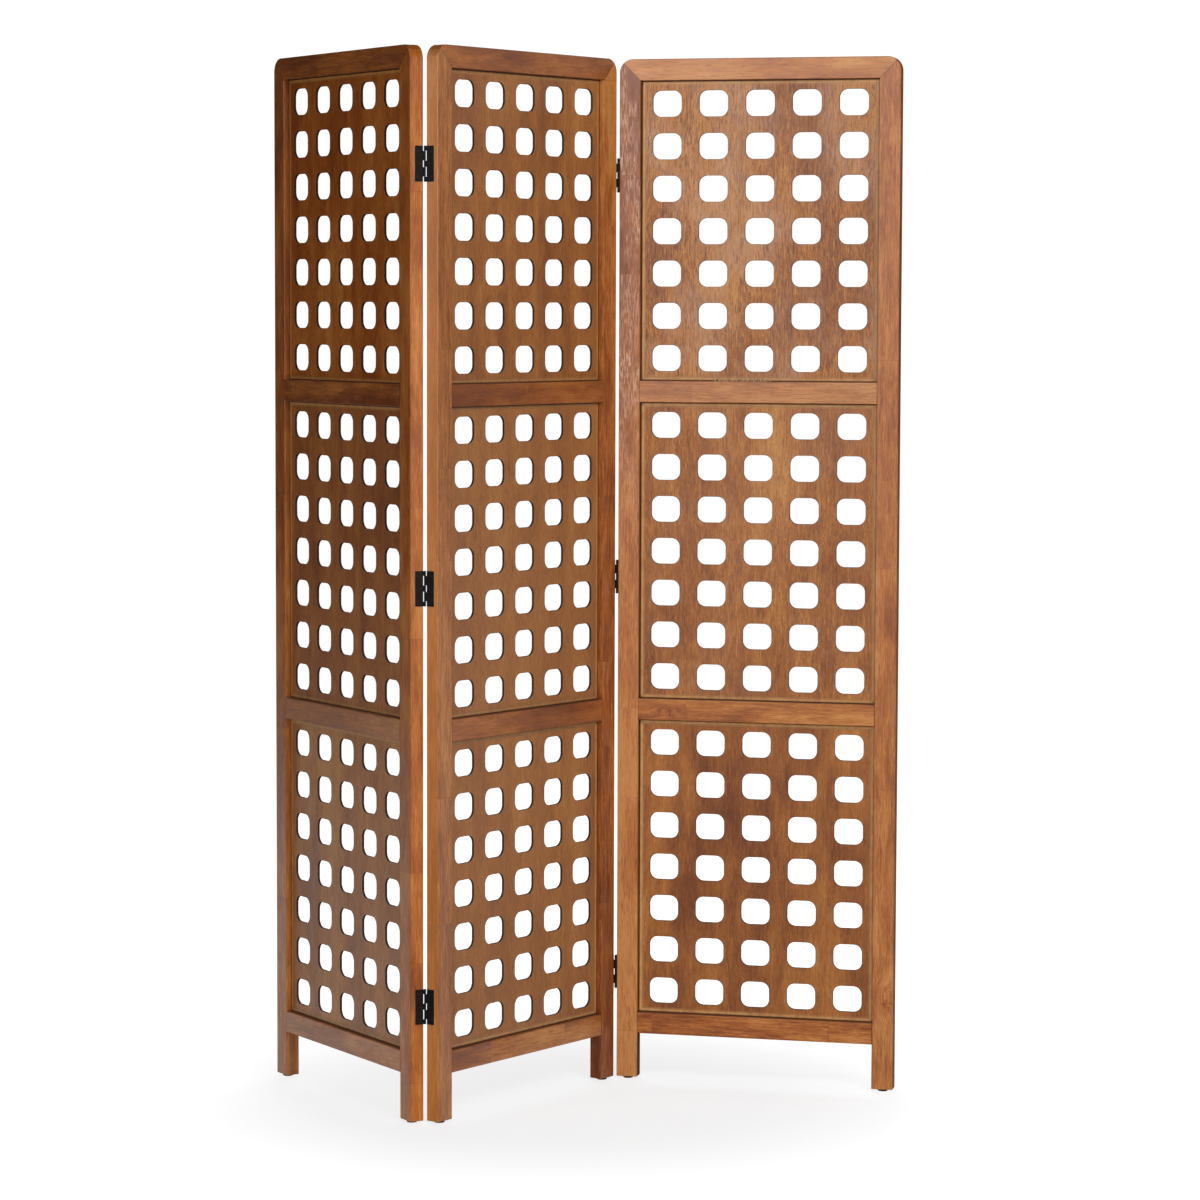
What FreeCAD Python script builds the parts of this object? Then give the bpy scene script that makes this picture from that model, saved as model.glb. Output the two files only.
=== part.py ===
import FreeCAD, Part

import math
import os
import Sketcher

# Folding screen of three hinged wooden panels, in millimetres.
#
# Each panel is a frame of two stiles, a mitred top rail and three butted rails. Grooves in the
# frame hold three thin boards, each pierced with a grid of rounded openings. Three butt hinges
# join each pair of panels. The left pair folds back to back and the right pair front to front.
#
# Every piece of a panel is drawn in the panel's own frame: X along the width from the panel's
# centre line, Y from the middle of its thickness towards the back, Z up from the floor.
# A hinge leaf is drawn about its pin: the pin is the Z axis and the wood lies towards -X.
# The whole screen stands on z = 0, and its origin is the middle of its outline on the floor.

SIZES = (
    ("panel_width", 505, "outside width of one panel"),
    ("panel_height", 1829, "floor to the top of the frame"),
    ("frame_thickness", 25, "front to back"),
    ("stile_width", 38, "stiles, and the top rail that is mitred to them"),
    ("mid_rail_height", 38, "lower and upper rail"),
    ("bottom_rail_height", 38, "bottom rail"),
    ("leg_height", 80, "end of a leg up to the bottom rail"),
    ("corner_radius", 24, "rounded outer corner at the top of a frame"),
    ("outer_arris", 1.5, "rounding of the frame's outer edges"),
    ("inner_arris", 1, "rounding of the edges round a board"),
    ("foot_chamfer", 0.8, "chamfer round the end of a leg"),
    ("board_thickness", 4, "pierced plywood board"),
    ("groove_depth", 8, "groove that holds a board"),
    ("groove_clearance", 0.2, "between a board and each side of its groove"),
    ("groove_end_gap", 1, "between a board's edge and the bottom of its groove"),
    ("hole_width", 52, "opening in a board"),
    ("hole_height", 46, "opening in a board"),
    ("hole_corner", 15, "corner radius of an opening"),
    ("hole_pitch_across", 84, "column to column"),
    ("hole_pitch_up", 75, "row to row"),
    ("hole_margin", 16, "least wood between the frame and an opening"),
    ("dowel_radius", 3, "dowels in the frame's joints"),
    ("dowel_reach", 18, "how far a rail's dowel goes into each piece"),
    ("dowel_spacing", 12, "between the two dowels of one butt joint"),
    ("mitre_dowel_reach", 13, "how far a mitre's dowel goes into each piece"),
    ("dowel_clearance", 0.1, "round a dowel"),
    ("dowel_end_gap", 1, "past the end of a dowel"),
    ("glide_radius", 9, "plastic foot under a leg"),
    ("glide_height", 4, "plastic foot under a leg"),
    ("glide_edge", 2, "rounding round the bottom of a glide"),
    ("glide_recess_radius", 3.2, "recess for the nail's head"),
    ("glide_recess_depth", 1.5, "recess for the nail's head"),
    ("nail_radius", 1.1, "nail through a glide"),
    ("nail_head_radius", 2.6, "nail through a glide"),
    ("nail_head_height", 0.9, "nail through a glide"),
    ("nail_reach", 18, "nail's length inside the leg"),
    ("nail_point", 3, "tapered end of a nail"),
    ("nail_clearance", 0.1, "round a nail"),
    ("hinge_height", 60, "length of a hinge"),
    ("hinge_inset", 200, "panel's end to the middle of its end hinge"),
    ("left_hinge_lift", 1, "how much higher the left joint's hinges are set"),
    ("right_hinge_lift", -5, "how much higher the right joint's hinges are set"),
    ("leaf_width", 18, "pin axis to the free edge of a leaf"),
    ("leaf_thickness", 0.9, "sheet steel of a leaf"),
    ("leaf_corner", 1.2, "rounding of a leaf's free corners"),
    ("pin_radius", 0.8, "hinge pin"),
    ("pin_clearance", 0.05, "between a pin and its knuckles"),
    ("pin_proud", 2, "face of a panel to the pin's axis"),
    ("pin_head_radius", 1.3, "riveted head of a pin"),
    ("pin_head_height", 0.5, "riveted head of a pin"),
    ("end_knuckle", 8.4, "length of the first and the last knuckle"),
    ("long_knuckle", 16.2, "length of the second and the fourth knuckle"),
    ("knuckle_gap", 0.2, "between one knuckle and the next"),
    ("notch_clearance", 1.25, "between a knuckle and the leaf behind it"),
    ("screw_radius", 1.2, "shank of a hinge screw"),
    ("screw_head_radius", 2, "flat head of a hinge screw"),
    ("screw_length", 15, "hinge screw with its head"),
    ("screw_point", 3, "tapered end of a hinge screw"),
    ("screw_slot_width", 0.6, "slot in a screw's head"),
    ("screw_slot_depth", 0.4, "slot in a screw's head"),
    ("screw_clearance", 0.1, "round a hinge screw"),
    ("screw_end_inset", 9, "end of a leaf to its end screws"),
    ("screw_edge_inset", 5, "free edge of a leaf to its end screws"),
    ("screw_stagger", 4.5, "how much nearer the pin the middle screw is"),
    ("cut_overrun", 2, "how far a cut runs past what it cuts"),
    ("middle_turn", 53, "degrees, how the middle panel stands"),
    ("left_fold", 112, "degrees, 0 is flat and 180 folded up"),
    ("right_fold", 67.5, "degrees, 0 is flat and 180 folded up"),
)

# Place of a mitre's dowel along the mitre, as a share of the stile's width
MITRE_DOWEL_SHARE = 0.58

# Largest corner radius of an opening, as a share of half its smaller side
HOLE_CORNER_SHARE = 0.9

# Points nearer to each other than this are taken as one
SAME_SPOT = 0.001

BOARDS = ("lower", "middle", "upper")
LEFT, RIGHT = -1, 1
FRONT, BACK = -1, 1
SIDES = {LEFT: "left", RIGHT: "right"}

# Joints between panels: name, panel on each side, face of the panels that the pins are on
JOINTS = (
    ("left", "left_panel", "middle_panel", BACK),
    ("right", "middle_panel", "right_panel", FRONT),
)
PANELS = ("left_panel", "middle_panel", "right_panel")

# Height of the middle of each hinge
LEVELS = {
    "bottom": "Sizes.hinge_inset",
    "middle": "Sizes.panel_height / 2",
    "top": "Sizes.panel_height - Sizes.hinge_inset",
}

# Side of each hinge whose leaf has three knuckles and keeps the pin
PIN_SIDES = {
    ("left", "bottom"): LEFT,
    ("left", "middle"): LEFT,
    ("left", "top"): RIGHT,
    ("right", "bottom"): RIGHT,
    ("right", "middle"): RIGHT,
    ("right", "top"): RIGHT,
}

# Screws of a leaf: name, height above the leaf's middle, distance from the pin's axis
SCREWS = (
    ("low", "-Places.screw_rise", "Places.far_screw"),
    ("near", "0", "Places.near_screw"),
    ("high", "Places.screw_rise", "Places.far_screw"),
)

doc = FreeCAD.newDocument("folding_screen")
sheet = doc.addObject("Spreadsheet::Sheet", "Sizes")
places = doc.addObject("App::VarSet", "Places")
patterns = []
pieces = []


# Sizes, and the places worked out from them

def fill_sheet():
    for row, (name, size, note) in enumerate(SIZES, 1):
        sheet.set(f"A{row}", name)
        sheet.set(f"B{row}", str(size))
        sheet.set(f"C{row}", note)
        sheet.setAlias(f"B{row}", name)
    doc.recompute()


def place(name, expression, kind="App::PropertyFloat"):
    places.addProperty(kind, name)
    places.setExpression(name, expression)


def work_out_panel():
    place("half_width", "Sizes.panel_width / 2")
    place("half_thickness", "Sizes.frame_thickness / 2")
    place("inner_edge", "half_width - Sizes.stile_width")
    place("leg_centre", "half_width - Sizes.stile_width / 2")
    place("leg_end", "Sizes.glide_height")
    place("bottom_rail_base", "leg_end + Sizes.leg_height")
    place("first_opening", "bottom_rail_base + Sizes.bottom_rail_height")
    place("mitre_base", "Sizes.panel_height - Sizes.stile_width")
    place("corner_inset", "Sizes.corner_radius * (1 - 1 / sqrt(2))")
    place("mitre_end_x", "half_width - corner_inset")
    place("mitre_end_z", "Sizes.panel_height - corner_inset")
    rails_between = f"{len(BOARDS) - 1} * Sizes.mid_rail_height"
    place("opening_height", f"(mitre_base - first_opening - {rails_between}) / {len(BOARDS)}")
    place("board_pitch", "opening_height + Sizes.mid_rail_height")
    place("mid_rail_base", "first_opening + opening_height")
    place("groove_width", "Sizes.board_thickness + 2 * Sizes.groove_clearance")
    place("board_engagement", "Sizes.groove_depth - Sizes.groove_end_gap")


def work_out_openings():
    """As many columns and rows of openings as the frame leaves room for."""
    room = "({} - 2 * Sizes.hole_margin - Sizes.{}) / Sizes.{}"
    place("columns", f"1 + floor({room.format('2 * inner_edge', 'hole_width', 'hole_pitch_across')})")
    place("rows", f"1 + floor({room.format('opening_height', 'hole_height', 'hole_pitch_up')})")
    place("row_extent", "(rows - 1) * Sizes.hole_pitch_up")
    place("first_row", "first_opening + (opening_height - row_extent) / 2")
    smaller = "min(Sizes.hole_width; Sizes.hole_height)"
    place("hole_round", f"min(Sizes.hole_corner; {HOLE_CORNER_SHARE} * {smaller} / 2)")


def work_out_hinges():
    place("bore_radius", "Sizes.pin_radius + Sizes.pin_clearance")
    place("knuckle_radius", "bore_radius + Sizes.leaf_thickness")
    place("plate_face", "Sizes.leaf_thickness - knuckle_radius")
    place("notch_depth", "knuckle_radius + Sizes.notch_clearance")
    place("half_hinge", "Sizes.hinge_height / 2")
    place("outer_knuckle", "half_hinge - Sizes.end_knuckle")
    place("centre_knuckle", "outer_knuckle - Sizes.long_knuckle")
    place("pin_out", "half_width + knuckle_radius")
    place("pin_back", "half_thickness + Sizes.pin_proud")
    place("hinge_spread", "Sizes.panel_height - 2 * Sizes.hinge_inset")
    place("screw_rise", "half_hinge - Sizes.screw_end_inset")
    place("far_screw", "Sizes.leaf_width - Sizes.screw_edge_inset")
    place("near_screw", "far_screw - Sizes.screw_stagger")
    place("screw_taper", "Sizes.screw_head_radius - Sizes.screw_radius")


def work_out_stance():
    """Stand the middle panel up, hang the others on their pins and centre the outline."""
    place("middle_angle", "Sizes.middle_turn")
    place("left_angle", "middle_angle - Sizes.left_fold")
    place("right_angle", "middle_angle - Sizes.right_fold")
    place("right_pin_x", "pin_out * cos(middle_angle) + pin_back * sin(middle_angle)")
    place("right_pin_y", "pin_out * sin(middle_angle) - pin_back * cos(middle_angle)")
    place("middle_x", "0")
    place("middle_y", "0")
    place("left_x", "-right_pin_x - pin_out * cos(left_angle) + pin_back * sin(left_angle)")
    place("left_y", "-right_pin_y - pin_out * sin(left_angle) - pin_back * cos(left_angle)")
    place("right_x", "right_pin_x + pin_out * cos(right_angle) - pin_back * sin(right_angle)")
    place("right_y", "right_pin_y + pin_out * sin(right_angle) + pin_back * cos(right_angle)")
    reach = "(half_width - {0}) * abs({1}({3})) + (half_thickness - {0}) * abs({2}({3})) + {0}"
    for panel in PANELS:
        side = panel.split("_")[0]
        place(f"{side}_reach_x", reach.format("Sizes.outer_arris", "cos", "sin", f"{side}_angle"))
        place(f"{side}_reach_y", reach.format("Sizes.outer_arris", "sin", "cos", f"{side}_angle"))
    for axis in "xy":
        ends = "left_{0} {1} left_reach_{0}; middle_{0} {1} middle_reach_{0}; right_{0} {1} right_reach_{0}"
        low, high = ends.format(axis, "-"), ends.format(axis, "+")
        place(f"centre_{axis}", f"(min({low}) + max({high})) / 2")
    for panel in PANELS:
        side = panel.split("_")[0]
        spot = f"vector({side}_x - centre_x; {side}_y - centre_y; 0)"
        turn = f"rotation(vector(0; 0; 1); {side}_angle)"
        place(panel, f"placement({spot}; {turn})", "App::PropertyPlacement")


# Drawing helpers

def number(owner, expression):
    found = owner.evalExpression(expression)
    return float(getattr(found, "Value", found))


def new_pattern(name):
    """Body that is drawn once, for all the pieces made like it."""
    body = doc.addObject("PartDesign::Body", f"{name}_pattern")
    patterns.append(body)
    return body


def new_piece(name, placement, pattern=None):
    body = doc.addObject("PartDesign::Body", name)
    body.Label = name
    body.setExpression("Placement", placement)
    if pattern:
        body.BaseFeature = pattern
    pieces.append(body)
    return body


def shifted(x, y, z, turn="rotation(vector(0; 0; 1); 0)"):
    return f"placement(vector({x}; {y}; {z}); {turn})"


def plane(body, role):
    return [part for part in body.Origin.OriginFeatures if part.Role == role][0]


def new_sketch(body, name, role, offset=("0", "0", "0")):
    sketch = body.newObject("Sketcher::SketchObject", name)
    sketch.AttachmentSupport = [(plane(body, role), "")]
    sketch.MapMode = "FlatFace"
    for axis, expression in zip("xyz", offset):
        sketch.setExpression(f"AttachmentOffset.Base.{axis}", expression)
    return sketch


def constrain(sketch, wanted):
    """Add constraints, and bind each one that ends in an expression to it."""
    first = sketch.ConstraintCount
    made = []
    for kind, *where, last in wanted:
        value = number(sketch, last) if isinstance(last, str) else last
        made.append(Sketcher.Constraint(kind, *where, value))
    sketch.addConstraint(made)
    for index, item in enumerate(wanted, first):
        if isinstance(item[-1], str):
            sketch.setExpression(f"Constraints[{index}]", item[-1])


def arc_between(start, end, radius, bend):
    """Arc from start to end. bend: 1 or -1 for a short arc, counterclockwise or clockwise,
    and 2 or -2 for a long one."""
    chord = end - start
    rise = math.sqrt(max(radius ** 2 - (chord.Length / 2) ** 2, 0))
    left = FreeCAD.Vector(-chord.y, chord.x, 0).normalize()
    centre = (start + end) / 2 + left * (rise if bend in (1, -2) else -rise)
    first, last = (math.atan2(p.y - centre.y, p.x - centre.x) for p in (start, end))
    whole = Part.Circle(centre, FreeCAD.Vector(0, 0, 1), radius)
    return Part.ArcOfCircle(whole, *((first, last) if bend > 0 else (last, first)))


def outline(sketch, points):
    """Closed outline. Each point is (x, y), or (x, y, radius, bend) where an arc leaves it."""
    base = sketch.GeometryCount
    spots = [FreeCAD.Vector(number(sketch, p[0]), number(sketch, p[1]), 0) for p in points]
    heads = [2 if len(p) == 4 and p[3] < 0 else 1 for p in points]
    wanted = []
    for index, point in enumerate(points):
        after = (index + 1) % len(points)
        start, end = spots[index], spots[after]
        if len(point) == 4:
            sketch.addGeometry(arc_between(start, end, number(sketch, point[2]), point[3]))
            wanted.append(("Radius", base + index, point[2]))
        else:
            sketch.addGeometry(Part.LineSegment(start, end))
        wanted.append(("Coincident", base + index, 3 - heads[index], base + after, heads[after]))
        wanted.append(("DistanceX", -1, 1, base + index, heads[index], point[0]))
        wanted.append(("DistanceY", -1, 1, base + index, heads[index], point[1]))
    constrain(sketch, wanted)


def rectangle(sketch, left, bottom, right, top):
    outline(sketch, [(left, bottom), (right, bottom), (right, top), (left, top)])


def circle(sketch, x, y, radius):
    centre = FreeCAD.Vector(number(sketch, x), number(sketch, y), 0)
    whole = Part.Circle(centre, FreeCAD.Vector(0, 0, 1), number(sketch, radius))
    index = sketch.addGeometry(whole)
    constrain(sketch, [
        ("DistanceX", -1, 1, index, 3, x),
        ("DistanceY", -1, 1, index, 3, y),
        ("Radius", index, radius),
    ])


def both_ways(body, name, kind, sketch, length):
    """Pad or pocket that runs to both sides of its sketch, length in all."""
    feature = body.newObject(f"PartDesign::{kind}", name)
    feature.Profile = (sketch, [""])
    feature.SideType = "Symmetric"
    feature.setExpression("Length", length)
    return feature


def turned(body, name, role, offset, axis, points):
    """Solid of revolution about the H_Axis or V_Axis of its sketch."""
    sketch = new_sketch(body, f"{name}_profile", role, offset)
    outline(sketch, points)
    feature = body.newObject("PartDesign::Revolution", name)
    feature.Profile = (sketch, [""])
    feature.ReferenceAxis = (sketch, [axis])
    feature.Angle = 360
    return feature


def cylinder(body, name, kind, radius, height, spot, tilt):
    """Cylinder that starts at a spot. tilt turns its axis from +Z about Y, in degrees."""
    feature = body.newObject(f"PartDesign::{kind}Cylinder", name)
    feature.setExpression("Radius", radius)
    feature.setExpression("Height", height)
    feature.setExpression("Placement", shifted(*spot, f"rotation(vector(0; 1; 0); {tilt})"))
    return feature


def repeat(body, name, originals, extent, count):
    """Copies of features, evenly spaced up the body's Z axis."""
    feature = body.newObject("PartDesign::LinearPattern", name)
    feature.Originals = originals
    feature.Direction = (plane(body, "Z_Axis"), [""])
    feature.Mode = "Extent"
    feature.setExpression("Length", extent)
    feature.setExpression("Occurrences", count)
    body.Tip = feature


def dress(body, name, kind, size, wanted):
    """Fillet or chamfer the edges of the body whose ends and middle all pass the test."""
    doc.recompute()
    chosen = [
        f"Edge{index}"
        for index, edge in enumerate(body.Tip.Shape.Edges, 1)
        if all(wanted(point) for point in [v.Point for v in edge.Vertexes] + [edge.CenterOfMass])
    ]
    base = body.Tip
    feature = body.newObject(f"PartDesign::{kind}", name)
    feature.Base = (base, chosen)
    feature.setExpression("Radius" if kind == "Fillet" else "Size", size)


def same(first, second):
    return abs(first - second) < SAME_SPOT


# Wooden frame

def on_faces(body):
    """Test for points on the front or the back face."""
    half = number(body, "Places.half_thickness")
    return lambda point: same(abs(point.y), half)


def rail_dowel_spots():
    """Heights of the dowels of the three butted rails, from the bottom up."""
    rails = (
        ("Places.bottom_rail_base", "Sizes.bottom_rail_height"),
        ("Places.mid_rail_base", "Sizes.mid_rail_height"),
        ("(Places.mid_rail_base + Places.board_pitch)", "Sizes.mid_rail_height"),
    )
    return [dowel_pair(*rail) for rail in rails]


def dowel_pair(base, height):
    middle = f"{base} + {height} / 2"
    return f"{middle} - Sizes.dowel_spacing / 2", f"{middle} + Sizes.dowel_spacing / 2"


def joint_circles(body, name, edge, heights, radius):
    """Sketch of dowels or their holes on the plane where the rails meet a stile."""
    sketch = new_sketch(body, name, "YZ_Plane", ("0", "0", f"{edge} * Places.inner_edge"))
    for height in heights:
        circle(sketch, "0", height, radius)
    return sketch


def drill_butt_joint(body, edge, heights):
    holes = joint_circles(
        body, f"{SIDES[edge]}_dowel_places", edge, heights, "Sizes.dowel_radius + Sizes.dowel_clearance"
    )
    both_ways(body, f"{SIDES[edge]}_dowel_holes", "Pocket", holes,
              "2 * (Sizes.dowel_reach + Sizes.dowel_end_gap)")


def mitre_dowel(body, name, kind, edge, radius, reach, start="0"):
    """Cylinder square to a mitre. It starts at a distance from the mitre, towards the stile."""
    along = f"{MITRE_DOWEL_SHARE} * Sizes.stile_width"
    step = f"({start}) / sqrt(2)"
    x = f"{edge} * (Places.inner_edge + {along} + {step})"
    z = f"Places.mitre_base + {along} - {step}"
    return cylinder(body, name, kind, radius, reach, (x, "0", z), f"{edge} * 135")


def draw_stile(edge):
    """Stile with its half of the rounded corner, cut for boards, dowels and nail."""
    body = new_pattern(f"{SIDES[edge]}_stile")
    outer, inner = f"{edge} * Places.half_width", f"{edge} * Places.inner_edge"
    front = new_sketch(body, "stile_outline", "XZ_Plane")
    outline(front, [
        (inner, "Places.leg_end"),
        (outer, "Places.leg_end"),
        (outer, "Sizes.panel_height - Sizes.corner_radius", "Sizes.corner_radius", edge),
        (f"{edge} * Places.mitre_end_x", "Places.mitre_end_z"),
        (inner, "Places.mitre_base"),
    ])
    both_ways(body, "stile_blank", "Pad", front, "Sizes.frame_thickness")

    at_face = on_faces(body)
    outside = number(body, "Places.mitre_end_x") - SAME_SPOT
    inside = number(body, "Places.inner_edge")
    foot = number(body, "Places.leg_end")
    dress(body, "outer_arris", "Fillet", "Sizes.outer_arris",
          lambda point: at_face(point) and abs(point.x) > outside)
    dress(body, "inner_arris", "Fillet", "Sizes.inner_arris",
          lambda point: at_face(point) and same(abs(point.x), inside))
    dress(body, "foot_chamfer", "Chamfer", "Sizes.foot_chamfer", lambda point: same(point.z, foot))

    slots = new_sketch(body, "board_slot_outlines", "XZ_Plane")
    for index in range(len(BOARDS)):
        low = f"Places.first_opening + {index} * Places.board_pitch"
        rectangle(
            slots,
            f"{edge} * (Places.inner_edge - Sizes.cut_overrun)",
            f"{low} - Sizes.groove_depth",
            f"{edge} * (Places.inner_edge + Sizes.groove_depth)",
            f"{low} + Places.opening_height + Sizes.groove_depth",
        )
    both_ways(body, "board_slots", "Pocket", slots, "Places.groove_width")

    drill_butt_joint(body, edge, [height for pair in rail_dowel_spots() for height in pair])
    mitre_dowel(body, "mitre_dowel_hole", "Subtractive", edge,
                "Sizes.dowel_radius + Sizes.dowel_clearance",
                "Sizes.mitre_dowel_reach + Sizes.dowel_end_gap + Sizes.cut_overrun",
                "-Sizes.cut_overrun")
    cylinder(body, "nail_hole", "Subtractive", "Sizes.nail_radius + Sizes.nail_clearance",
             "Sizes.nail_reach + Sizes.nail_clearance",
             (f"{edge} * Places.leg_centre", "0", "Places.leg_end"), "0")
    return body


def groove(body, name, low, high):
    """Groove along a rail for the edge of a board."""
    sketch = new_sketch(body, f"{name}_outline", "XZ_Plane")
    rectangle(sketch, "-Places.half_width", low, "Places.half_width", high)
    both_ways(body, name, "Pocket", sketch, "Places.groove_width")


def draw_rail(name, base, height, grooved_below):
    """Rail butted between the stiles, with two dowel holes in each end."""
    body = new_pattern(name)
    front = new_sketch(body, "rail_outline", "XZ_Plane")
    rectangle(front, "-Places.inner_edge", base, "Places.inner_edge", f"{base} + {height}")
    both_ways(body, "rail_blank", "Pad", front, "Sizes.frame_thickness")
    at_face = on_faces(body)
    levels = number(body, base), number(body, f"{base} + {height}")
    dress(body, "inner_arris", "Fillet", "Sizes.inner_arris",
          lambda point: at_face(point) and any(same(point.z, level) for level in levels))
    groove(body, "upper_groove", f"{base} + {height} - Sizes.groove_depth",
           f"{base} + {height} + Sizes.cut_overrun")
    if grooved_below:
        groove(body, "lower_groove", f"{base} - Sizes.cut_overrun", f"{base} + Sizes.groove_depth")
    for edge in (LEFT, RIGHT):
        drill_butt_joint(body, edge, dowel_pair(base, height))
    return body


def draw_top_rail():
    """Top rail, mitred to both stiles, with its half of each rounded corner."""
    body = new_pattern("top_rail")
    straight = "(Places.half_width - Sizes.corner_radius)"
    front = new_sketch(body, "rail_outline", "XZ_Plane")
    outline(front, [
        ("-Places.inner_edge", "Places.mitre_base"),
        ("Places.inner_edge", "Places.mitre_base"),
        ("Places.mitre_end_x", "Places.mitre_end_z", "Sizes.corner_radius", 1),
        (straight, "Sizes.panel_height"),
        (f"-{straight}", "Sizes.panel_height", "Sizes.corner_radius", 1),
        ("-Places.mitre_end_x", "Places.mitre_end_z"),
    ])
    both_ways(body, "rail_blank", "Pad", front, "Sizes.frame_thickness")
    at_face = on_faces(body)
    outside = number(body, "Places.mitre_end_z") - SAME_SPOT
    inside = number(body, "Places.mitre_base")
    dress(body, "outer_arris", "Fillet", "Sizes.outer_arris",
          lambda point: at_face(point) and point.z > outside)
    dress(body, "inner_arris", "Fillet", "Sizes.inner_arris",
          lambda point: at_face(point) and same(point.z, inside))
    groove(body, "lower_groove", "Places.mitre_base - Sizes.cut_overrun",
           "Places.mitre_base + Sizes.groove_depth")
    for edge in (LEFT, RIGHT):
        reach = "(Sizes.mitre_dowel_reach + Sizes.dowel_end_gap)"
        mitre_dowel(body, f"{SIDES[edge]}_dowel_hole", "Subtractive", edge,
                    "Sizes.dowel_radius + Sizes.dowel_clearance",
                    f"{reach} + Sizes.cut_overrun", f"-{reach}")
    return body


def draw_dowels():
    body = new_pattern("dowels")
    for edge in (LEFT, RIGHT):
        heights = [height for pair in rail_dowel_spots() for height in pair]
        side = SIDES[edge]
        ends = joint_circles(body, f"{side}_dowel_ends", edge, heights, "Sizes.dowel_radius")
        both_ways(body, f"{side}_dowels", "Pad", ends, "2 * Sizes.dowel_reach")
        mitre_dowel(body, f"{side}_mitre_dowel", "Additive", edge, "Sizes.dowel_radius",
                    "2 * Sizes.mitre_dowel_reach", "-Sizes.mitre_dowel_reach")
    return body


# Pierced boards

def draw_board():
    """Lowest board, with rows of rounded openings, held in the grooves of the frame."""
    body = new_pattern("board")
    edge, low = "(Places.inner_edge + Places.board_engagement)", "Places.first_opening"
    front = new_sketch(body, "board_outline", "XZ_Plane")
    rectangle(front, f"-{edge}", f"{low} - Places.board_engagement",
              edge, f"{low} + Places.opening_height + Places.board_engagement")
    both_ways(body, "board_sheet", "Pad", front, "Sizes.board_thickness")
    row = new_sketch(body, "row_of_openings", "XZ_Plane")
    for column in range(round(number(body, "Places.columns"))):
        opening(row, f"Sizes.hole_pitch_across * ({column} - (Places.columns - 1) / 2)", "Places.first_row")
    first = both_ways(body, "first_row", "Pocket", row, "Sizes.board_thickness + Sizes.cut_overrun")
    if round(number(body, "Places.rows")) > 1:
        repeat(body, "rows", [first], "Places.row_extent", "Places.rows")
    return body


def opening(sketch, x, z):
    wide, tall, bend = "Sizes.hole_width / 2", "Sizes.hole_height / 2", "Places.hole_round"
    flat_x, flat_z = f"({wide} - {bend})", f"({tall} - {bend})"
    outline(sketch, [
        (f"{x} - {flat_x}", f"{z} - {tall}"),
        (f"{x} + {flat_x}", f"{z} - {tall}", bend, 1),
        (f"{x} + {wide}", f"{z} - {flat_z}"),
        (f"{x} + {wide}", f"{z} + {flat_z}", bend, 1),
        (f"{x} + {flat_x}", f"{z} + {tall}"),
        (f"{x} - {flat_x}", f"{z} + {tall}", bend, 1),
        (f"{x} - {wide}", f"{z} + {flat_z}"),
        (f"{x} - {wide}", f"{z} - {flat_z}", bend, 1),
    ])


# Feet

def draw_glide():
    """Round plastic foot with a recess for its nail, drawn about its own axis."""
    body = new_pattern("glide")
    bore = "(Sizes.nail_radius + Sizes.nail_clearance)"
    turned(body, "glide", "XZ_Plane", ("0", "0", "0"), "V_Axis", [
        (bore, "Sizes.glide_recess_depth"),
        ("Sizes.glide_recess_radius", "Sizes.glide_recess_depth"),
        ("Sizes.glide_recess_radius", "0"),
        ("Sizes.glide_radius - Sizes.glide_edge", "0", "Sizes.glide_edge", 1),
        ("Sizes.glide_radius", "Sizes.glide_edge"),
        ("Sizes.glide_radius", "Sizes.glide_height"),
        (bore, "Sizes.glide_height"),
    ])
    return body


def draw_nails():
    body = new_pattern("glide_nails")
    head = "(Sizes.glide_recess_depth - Sizes.nail_head_height)"
    tip = "(Sizes.glide_height + Sizes.nail_reach)"
    for edge in (LEFT, RIGHT):
        spot = (f"{edge} * Places.leg_centre", "0", "0")
        turned(body, f"{SIDES[edge]}_nail", "XZ_Plane", spot, "V_Axis", [
            ("0", head),
            ("Sizes.nail_head_radius", head),
            ("Sizes.nail_head_radius", "Sizes.glide_recess_depth"),
            ("Sizes.nail_radius", "Sizes.glide_recess_depth"),
            ("Sizes.nail_radius", f"{tip} - Sizes.nail_point"),
            ("0", tip),
        ])
    return body


# Hinges

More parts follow.
